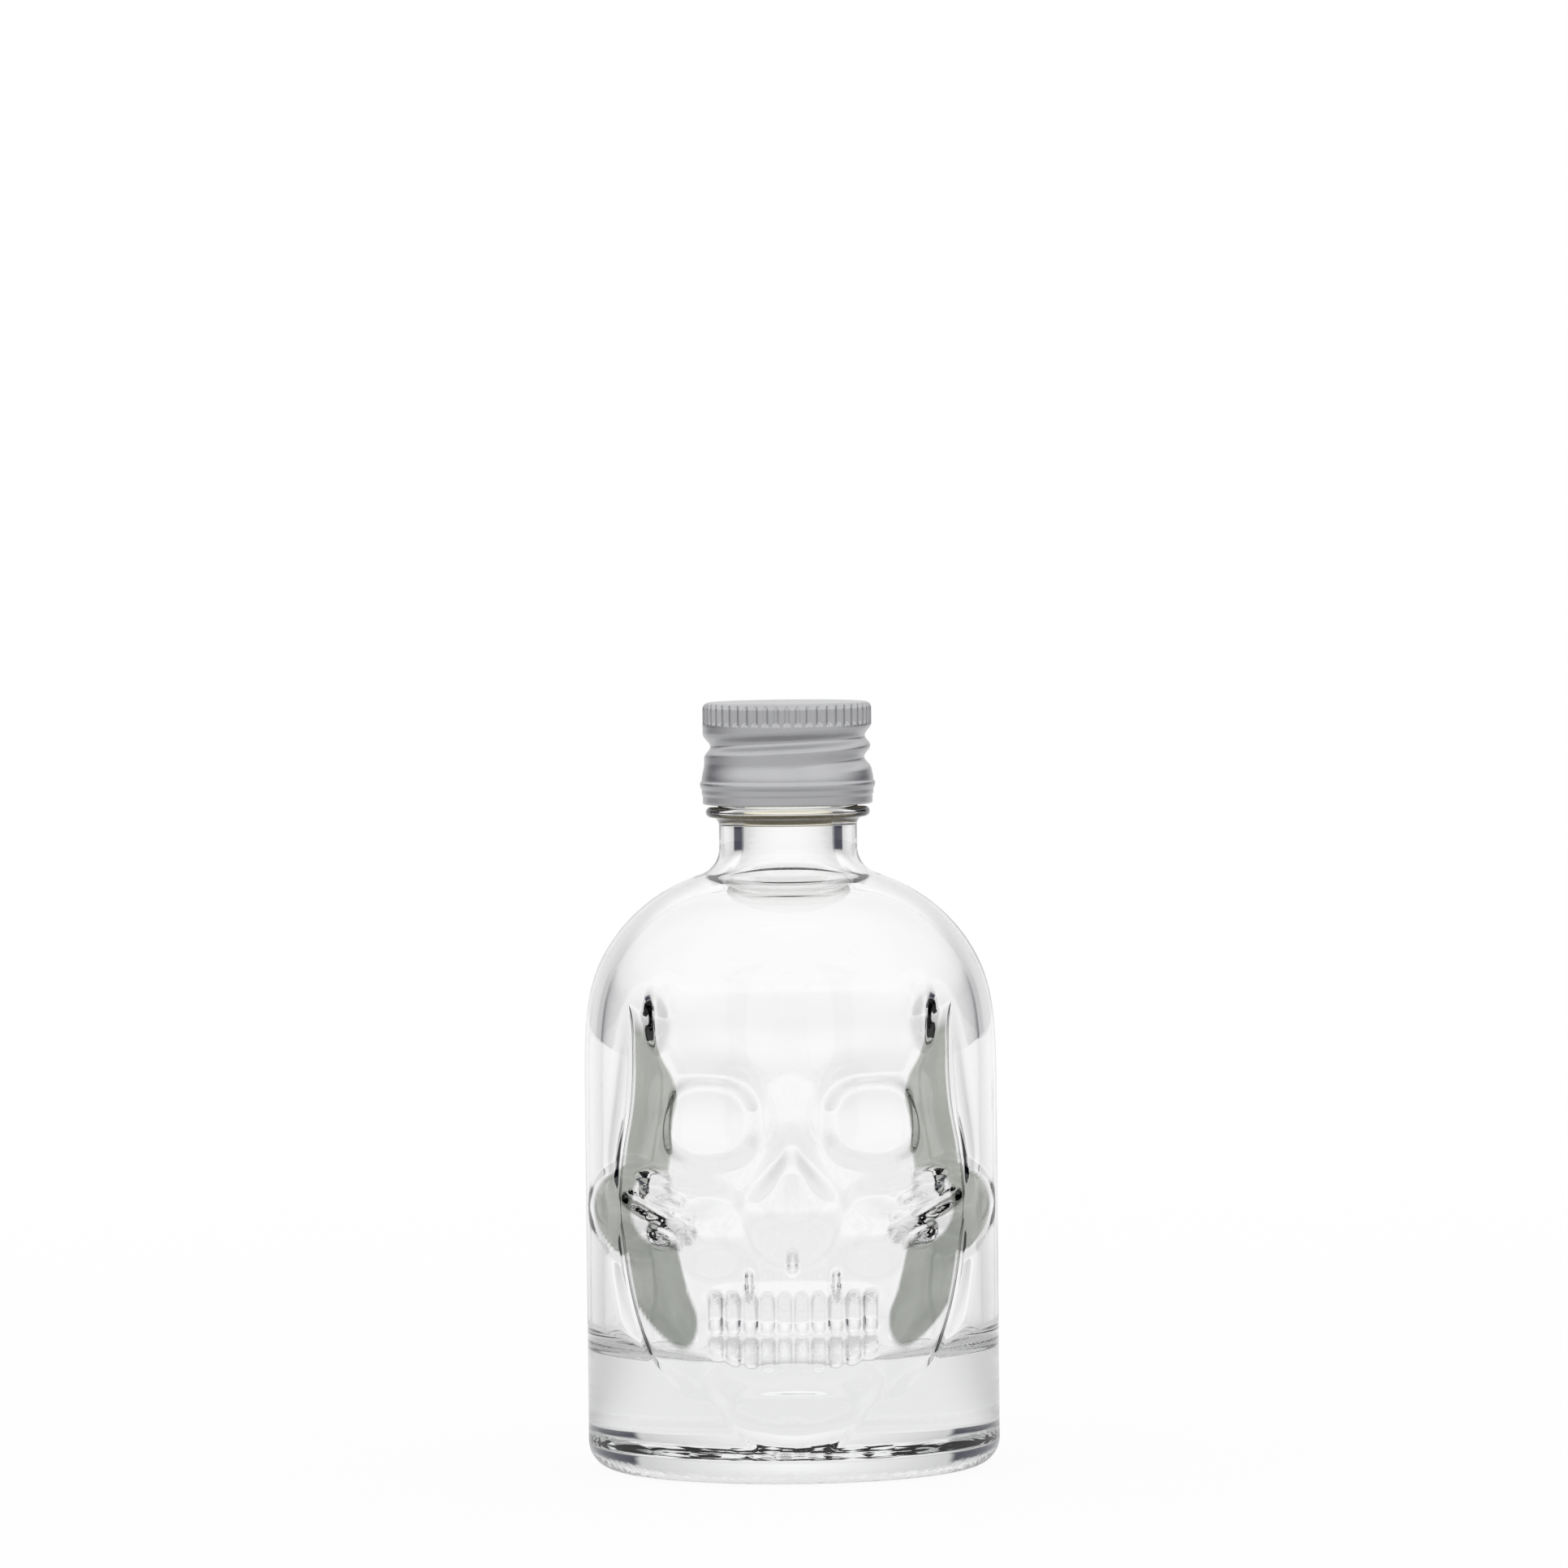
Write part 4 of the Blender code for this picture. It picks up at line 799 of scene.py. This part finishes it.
def liner_underside(radius):
    """Flat, less a shallow ring where the lip has pressed."""
    near = (radius - (BORE_RADIUS + FINISH_RADIUS) / 2) / ((FINISH_RADIUS - BORE_RADIUS) / 2)
    return liner_low[2] + LINER_DENT * (1 - ramp(np.abs(near), *DENT_EDGE))


flat_radius = LINER_RADIUS - LINER_EDGE
reach = np.linspace(0, flat_radius, LINER_RINGS + 1)[1:]
liner_profile = np.concatenate([
    np.column_stack([reach, liner_underside(reach)]),
    arc((flat_radius, liner_low[2] + LINER_EDGE), LINER_EDGE, -90, 0, EDGE_STEPS)[1:],
    arc((flat_radius, liner_high[2] - LINER_EDGE), LINER_EDGE, 0, 90, EDGE_STEPS),
])

# %% The liner
liner_turn = np.arange(LINER_COLUMNS) / LINER_COLUMNS * math.tau
liner_rows = np.stack([
    liner_profile[:, :1] * np.cos(liner_turn), liner_profile[:, :1] * np.sin(liner_turn),
    liner_profile[:, 1:] + 0 * liner_turn,
], axis=-1)
liner = closed_rows("liner_disc", liner_rows, (0, 0, liner_underside(0)), (0, 0, float(liner_high[2])))

# %% [markdown]
# ## Finishes
# A material is a small graph of maths on positions. It could be wired by hand in the node editor. Writing it
# as Python expressions keeps it readable, so one class wraps a node's output and turns + - * into Math
# nodes, and one method makes any other node.


# %% Shader maths as expressions
class Value:
    """One output of a node, from which + - * and abs() make further nodes."""

    def __init__(self, graph, socket):
        self.graph = graph
        self.socket = socket

    def __add__(self, other):
        return self.graph.maths("ADD", self, other)

    def __sub__(self, other):
        return self.graph.maths("SUBTRACT", self, other)

    def __rsub__(self, other):
        return self.graph.maths("SUBTRACT", other, self)

    def __mul__(self, other):
        return self.graph.maths("MULTIPLY", self, other)

    def __abs__(self):
        return self.graph.maths("ABSOLUTE", self)

    __radd__ = __add__
    __rmul__ = __mul__


# %% The graph of a material
class Graph:
    """The nodes of a new material, with its shader and its output."""

    def __init__(self, name):
        self.material = bpy.data.materials.new(name)
        self.material.use_nodes = True
        self.tree = self.material.node_tree
        self.shader = self.tree.nodes["Principled BSDF"]
        self.output = self.tree.nodes["Material Output"]

    def node(self, kind, settings=None, values=None, out=0):
        """Makes a node, sets its settings first, then links or sets its sockets, and returns one output."""
        made = self.tree.nodes.new(kind)
        for key, value in (settings or {}).items():
            setattr(made, key, value)
        for key, value in (values or {}).items():
            self.put(made.inputs[key], value)
        return Value(self, made.outputs[out])

    def put(self, socket, value):
        """Links a node's output to a socket, or sets the socket to a number or colour."""
        if isinstance(value, Value):
            self.tree.links.new(value.socket, socket)
        else:
            socket.default_value = value

    def set(self, **values):
        """Puts values on the shader's sockets, whose names have a space for each underscore here."""
        for key, value in values.items():
            self.put(self.shader.inputs[key.replace("_", " ")], value)

    def maths(self, operation, first, second=0):
        """One Math node; second is unused where the operation takes one number."""
        return self.node("ShaderNodeMath", {"operation": operation}, {0: first, 1: second})

    def share(self, value, low, high, kind="LINEAR"):
        """0 at low and 1 at high, which may be the smaller one, and level past them."""
        values = {"Value": value, "From Min": low, "From Max": high}
        return self.node("ShaderNodeMapRange", {"interpolation_type": kind}, values)

    def split(self, vector):
        """A vector's three parts."""
        first = self.node("ShaderNodeSeparateXYZ", None, {0: vector})
        return [Value(self, output) for output in first.socket.node.outputs]

    def grey(self, level, blue):
        """A colour with one level for red and green, and its own for blue."""
        return self.node("ShaderNodeCombineXYZ", None, {0: level, 1: level, 2: blue})

    def blend(self, amount, a, b):
        """Colour a where amount is 0 and b where it is 1."""
        return self.node("ShaderNodeMix", {"data_type": "RGBA"}, {0: amount, 6: a, 7: b}, 2)

    def mask(self, name):
        """The numbers that mark() kept on the points."""
        return self.node("ShaderNodeAttribute", {"attribute_name": name}, None, "Fac")

    def noise(self, place, scale, detail=2.0):
        """Soft random waves of about one over scale metres, with detail finer layers on them."""
        return self.node("ShaderNodeTexNoise", None, {"Vector": place, "Scale": scale, "Detail": detail})

    def cells(self, place, scale):
        """The distance to the nearest of random points, about one over scale metres apart."""
        return self.node("ShaderNodeTexVoronoi", None, {"Vector": place, "Scale": scale}, "Distance")

    def bump(self, height, distance):
        """A normal that makes a height of 1 look as high as distance, in metres."""
        return self.node("ShaderNodeBump", None, {"Height": height, "Distance": distance})


def place_of(graph):
    """Where a point lies in its piece, so that a finish moves with it."""
    return graph.node("ShaderNodeTexCoord", None, None, "Object")


def dress(piece, graph):
    """Gives a piece the graph's material and no other."""
    piece.data.materials.clear()
    piece.data.materials.append(graph.material)
    print(piece.name, "wears", graph.material.name)


# %% [markdown]
# ### Clear glass
# Flint glass passes nearly all light, and shows colour only along its thickness. A denser volume would do
# that, but it would dim the whole bottle at this size, so the volume is pale. A painted grey-green shade is
# laid where the points are marked, standing for the darker surroundings that steep walls bend into view,
# darker down at the jaw, and a painted golden reflection of the cap's lacquered inside runs along the collar.
# A very slight waviness from the mould keeps the surface from looking machined, and the edge it stands on is
# stippled.

# %% Clear glass
# Painted shade: a dark grey-green for the marked walls, a darker one towards the bottom at the jaw, and a
# paler cloud through both.
WALL_PAINTED_SHADE, JAW_PAINTED_SHADE, PAINTED_SHADE_CLOUD = (0.205, 0.222, 0.186, 1), (0.09, 0.105, 0.086, 1), (0.36, 0.37, 0.34, 1)
# Painted reflection: a golden colour at the foot of the collar stands for the cap's lacquered inside seen
# through the glass.
CLEAR, PAINTED_LACQUER_REFLECTION = (1, 1, 1, 1), (0.80, 0.72, 0.48, 1)
THICK_GLASS, THICK_DENSITY = (0.76, 0.80, 0.77, 1), 6.0
# Heights where the painted shade starts to darken and where it is darkest.
JAW_SHADE_FROM, JAW_SHADE_FULL = 0.031, 0.024
# How far from the collar's foot the painted reflection starts and where it is full.
REFLECTION_OUT, REFLECTION_IN = 0.0005, 0.0002
BEARING_FROM, BEARING_FULL, BEARING_ROUGHNESS = 0.0020, 0.0008, 0.10
CLOUD_SCALE, CLOUD_SHARE = 160.0, 0.35
WAVE_SCALE, WAVE_DETAIL, WAVE_HEIGHT = 120.0, 1.0, 0.00002
STIPPLE_SCALE, STIPPLE_WAVES = 1400.0, 4.0

glass_look = Graph("clear_glass")
spot = place_of(glass_look)
rise = glass_look.split(spot)[2]
# The painted shade grows darker towards the bottom and is clouded with noise.
shade_colour = glass_look.blend(glass_look.share(rise, JAW_SHADE_FROM, JAW_SHADE_FULL), WALL_PAINTED_SHADE, JAW_PAINTED_SHADE)
shade_colour = glass_look.blend(CLOUD_SHARE * glass_look.noise(spot, CLOUD_SCALE), shade_colour, PAINTED_SHADE_CLOUD)
# Painted reflection: a golden band at the collar's foot, for the cap's lacquered inside, on otherwise clear
# glass.
body = glass_look.blend(glass_look.share(abs(rise - COLLAR_BOTTOM), REFLECTION_OUT, REFLECTION_IN), CLEAR, PAINTED_LACQUER_REFLECTION)
bearing = glass_look.share(rise, BEARING_FROM, BEARING_FULL)
stipple = STIPPLE_WAVES * bearing * glass_look.cells(spot, STIPPLE_SCALE)
glass_look.set(
    # Where the points are marked, the colour takes the painted shade.
    Base_Color=glass_look.blend(glass_look.mask("painted_shade_mask"), body, shade_colour),
    Roughness=BEARING_ROUGHNESS * bearing,
    IOR=1.52,
    Transmission_Weight=1.0,
    Normal=glass_look.bump(glass_look.noise(spot, WAVE_SCALE, WAVE_DETAIL) + stipple, WAVE_HEIGHT),
)
absorb = glass_look.node("ShaderNodeVolumeAbsorption", None, {"Color": THICK_GLASS, "Density": THICK_DENSITY})
glass_look.put(glass_look.output.inputs["Volume"], absorb)
dress(glass, glass_look)

# %% [markdown]
# ### Aluminium
# The cap's sheet is satin, with a fine grain that the rolling left, and a little uneven in its tone. The
# grain could be a picture, but noise in the piece's own coordinates stays sharp from near and has no seam.
# Inside, the sheet wears the golden lacquer that such caps have, which isn't a metal to light.

# %% Satin aluminium
SHEET_DARK, SHEET_LIGHT, LACQUER = (0.50, 0.502, 0.512, 1), (0.58, 0.582, 0.592, 1), (0.90, 0.80, 0.55, 1)
GRAIN_SCALE, GRAIN_DETAIL, GRAIN_HEIGHT, TONE_SCALE = 2600.0, 3.0, 0.000012, 240.0
SATIN, GRAIN_ROUGHNESS = 0.30, 0.10

metal_look = Graph("satin_aluminium")
spot = place_of(metal_look)
grain = metal_look.noise(spot, GRAIN_SCALE, GRAIN_DETAIL)
lacquer = metal_look.mask("inside")
sheet = metal_look.blend(metal_look.noise(spot, TONE_SCALE), SHEET_DARK, SHEET_LIGHT)
metal_look.set(
    Base_Color=metal_look.blend(lacquer, sheet, LACQUER),
    Metallic=1.0 - lacquer,
    Roughness=SATIN + GRAIN_ROUGHNESS * grain,
    Normal=metal_look.bump(grain, GRAIN_HEIGHT),
)
dress(cap, metal_look)

# %% [markdown]
# ### Foamed liner
# White foam sheet is matt, with cells just large enough to see. Plain white would do from afar; distances to
# random points give it round cells for the cost of one node.

# %% Liner foam
FOAM_LIGHT, FOAM_DARK = (0.86, 0.86, 0.84, 1), (0.80, 0.80, 0.78, 1)
FOAM_SCALE, FOAM_HEIGHT = 3200.0, 0.00004

foam_look = Graph("liner_foam")
cells = foam_look.cells(place_of(foam_look), FOAM_SCALE)
foam_look.set(
    Base_Color=foam_look.blend(cells, FOAM_LIGHT, FOAM_DARK),
    Roughness=0.8,
    Normal=foam_look.bump(cells, FOAM_HEIGHT),
)
dress(liner, foam_look)

# %% [markdown]
# ## What moves with what
# The real cap turns off its thread. Keyframes could show that, but here each piece stands for its node and
# rides on that node's body, so the same joints that the physics uses turn and lift it.

# %% Ride and replace
for piece, node, body, slot in (
    (glass, "glass_bottle", "bottle", "clear_glass"),
    (cap, "cap_shell", "cap", "satin_aluminium"),
    (liner, "cap_liner", "liner", "liner_foam"),
):
    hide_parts(node)
    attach(piece, body)
    print(piece.name, "rides on", body)

# %% [markdown]
# ## The studio
# Clear glass shows only what is round it. It stands before a wide white backdrop that dims towards its
# edges, with dark cards beside it that draw the thin dark lines in the neck and the base, and pale grey all
# round the rest. Lamps and real cards could be set up, but they would show in other views, so the world is
# that studio: its brightness is a function of direction, and the camera itself sees white.

# %% The world as a studio
BACKDROP_FROM, BACKDROP_TO, CARD_FROM, CARD_TO, ROOM_FROM = np.radians([3, 37, 41, 58, 112]).tolist()
BACKDROP_EDGE_LEVEL, CARD_LEVEL, ROOM_LEVEL, BELOW_LEVEL = 0.64, 0.02, 0.62, 0.9
CARD_TOP, CEILING, BELOW = (0.28, 0.14), (0.25, 0.5), (-0.08, -0.20)
CARD_BLUE = 0.025
SMOOTH = "SMOOTHSTEP"


class World(Graph):
    """The nodes of a new world, which light the scene from every direction."""

    def __init__(self, name):
        world = bpy.data.worlds.new(name)
        bpy.context.scene.world = world
        world.use_nodes = True
        self.tree = world.node_tree
        self.background = self.tree.nodes["Background"]


studio = World("studio")
east, north, height = studio.split(studio.node("ShaderNodeTexCoord", None, None, "Generated"))
off_back = studio.maths("ARCTAN2", abs(east), north)
dark = studio.share(off_back, BACKDROP_TO, CARD_FROM, SMOOTH) * studio.share(height, *CARD_TOP, SMOOTH)
room = studio.share(off_back, CARD_TO, ROOM_FROM, SMOOTH)
above = studio.share(height, *CEILING, SMOOTH)
below = studio.share(height, *BELOW, SMOOTH)
fall = studio.share(studio.maths("ARCCOSINE", north), BACKDROP_FROM, BACKDROP_TO)
backdrop = 1 - (1 - BACKDROP_EDGE_LEVEL) * fall
level = backdrop - dark * (backdrop - CARD_LEVEL)
level = level + room * (ROOM_LEVEL - CARD_LEVEL)
level = level + above * (1 - level)
level = level + below * (BELOW_LEVEL - level)
seen = studio.node("ShaderNodeLightPath", None, None, "Is Camera Ray")
level = level + seen * (1 - level)
studio.put(studio.background.inputs["Color"], studio.grey(level, level + CARD_BLUE * dark * (1 - seen)))
print("the world has", len(studio.tree.nodes), "nodes")

# %% [markdown]
# ## The floor
# Rays that the glass bends down end on the floor, so it has to dim with distance and direction as the
# backdrop does, or a bright edge would cross the bottle. It glows a little less than white near the bottle,
# keeps a soft shadow there, and is white to the camera.

# %% The floor
FLOOR_SIZE = 3.0
FLOOR_NEAR, FLOOR_FAR = 0.10, 0.60
FLOOR_NEAR_LEVEL, FLOOR_SIDE_DROP, FLOOR_NEAR_GLOW = 0.87, 0.25, 0.93
ASIDE_FROM, ASIDE_TO = np.radians([20, 50]).tolist()

bpy.ops.mesh.primitive_plane_add(size=FLOOR_SIZE, location=(0, 0, 0))
floor = bpy.context.object
floor.name = "floor"
floor_look = Graph("white_floor")
floor_look.set(Base_Color=(0.9, 0.9, 0.9, 1), Roughness=0.9)
spot = place_of(floor_look)
away = floor_look.node("ShaderNodeVectorMath", {"operation": "LENGTH"}, {0: spot}, 1)
far = floor_look.share(away, FLOOR_NEAR, FLOOR_FAR, SMOOTH)
east, north, _ = floor_look.split(spot)
aside = floor_look.share(floor_look.maths("ARCTAN2", abs(east), north), ASIDE_FROM, ASIDE_TO, SMOOTH)
white = FLOOR_NEAR_LEVEL + (1 - FLOOR_NEAR_LEVEL) * far - FLOOR_SIDE_DROP * aside
seen = floor_look.node("ShaderNodeLightPath", None, None, "Is Camera Ray")
white = white + seen * (1 - white)
glow = floor_look.node("ShaderNodeEmission", None, {"Color": floor_look.grey(white, white)})
mix = floor_look.node("ShaderNodeMixShader", None, {
    0: FLOOR_NEAR_GLOW + (1 - FLOOR_NEAR_GLOW) * far,
    1: Value(floor_look, floor_look.shader.outputs[0]),
    2: glow,
})
floor_look.put(floor_look.output.inputs["Surface"], mix)
dress(floor, floor_look)

# %% [markdown]
# ## The camera
# A near camera with a short lens would swell the face and hide the neck behind the dome. This one stands a
# little over a metre in front and looks slightly down through a long lens, as for a shop's picture.

# %% The camera
LENS_MM, SENSOR_MM = 226, 36
LOOK_DOWN, ROLL = 2.21, -0.6
CAMERA_PLACE = (-0.00038, -1.060, 0.1145)

camera = bpy.data.objects.new("camera", bpy.data.cameras.new("camera"))
bpy.context.scene.collection.objects.link(camera)
camera.data.lens = LENS_MM
camera.data.sensor_width = SENSOR_MM
tilt = Matrix.Rotation(math.radians(90 - LOOK_DOWN), 4, "X")
roll = Matrix.Rotation(math.radians(ROLL), 4, "Z")
camera.matrix_world = Matrix.Translation(CAMERA_PLACE) @ tilt @ roll
bpy.context.scene.camera = camera
bpy.context.scene.view_settings.view_transform = "Standard"

# %% [markdown]
# ## The end
# The view layer is brought up to date.

# %% The end
bpy.context.view_layer.update()
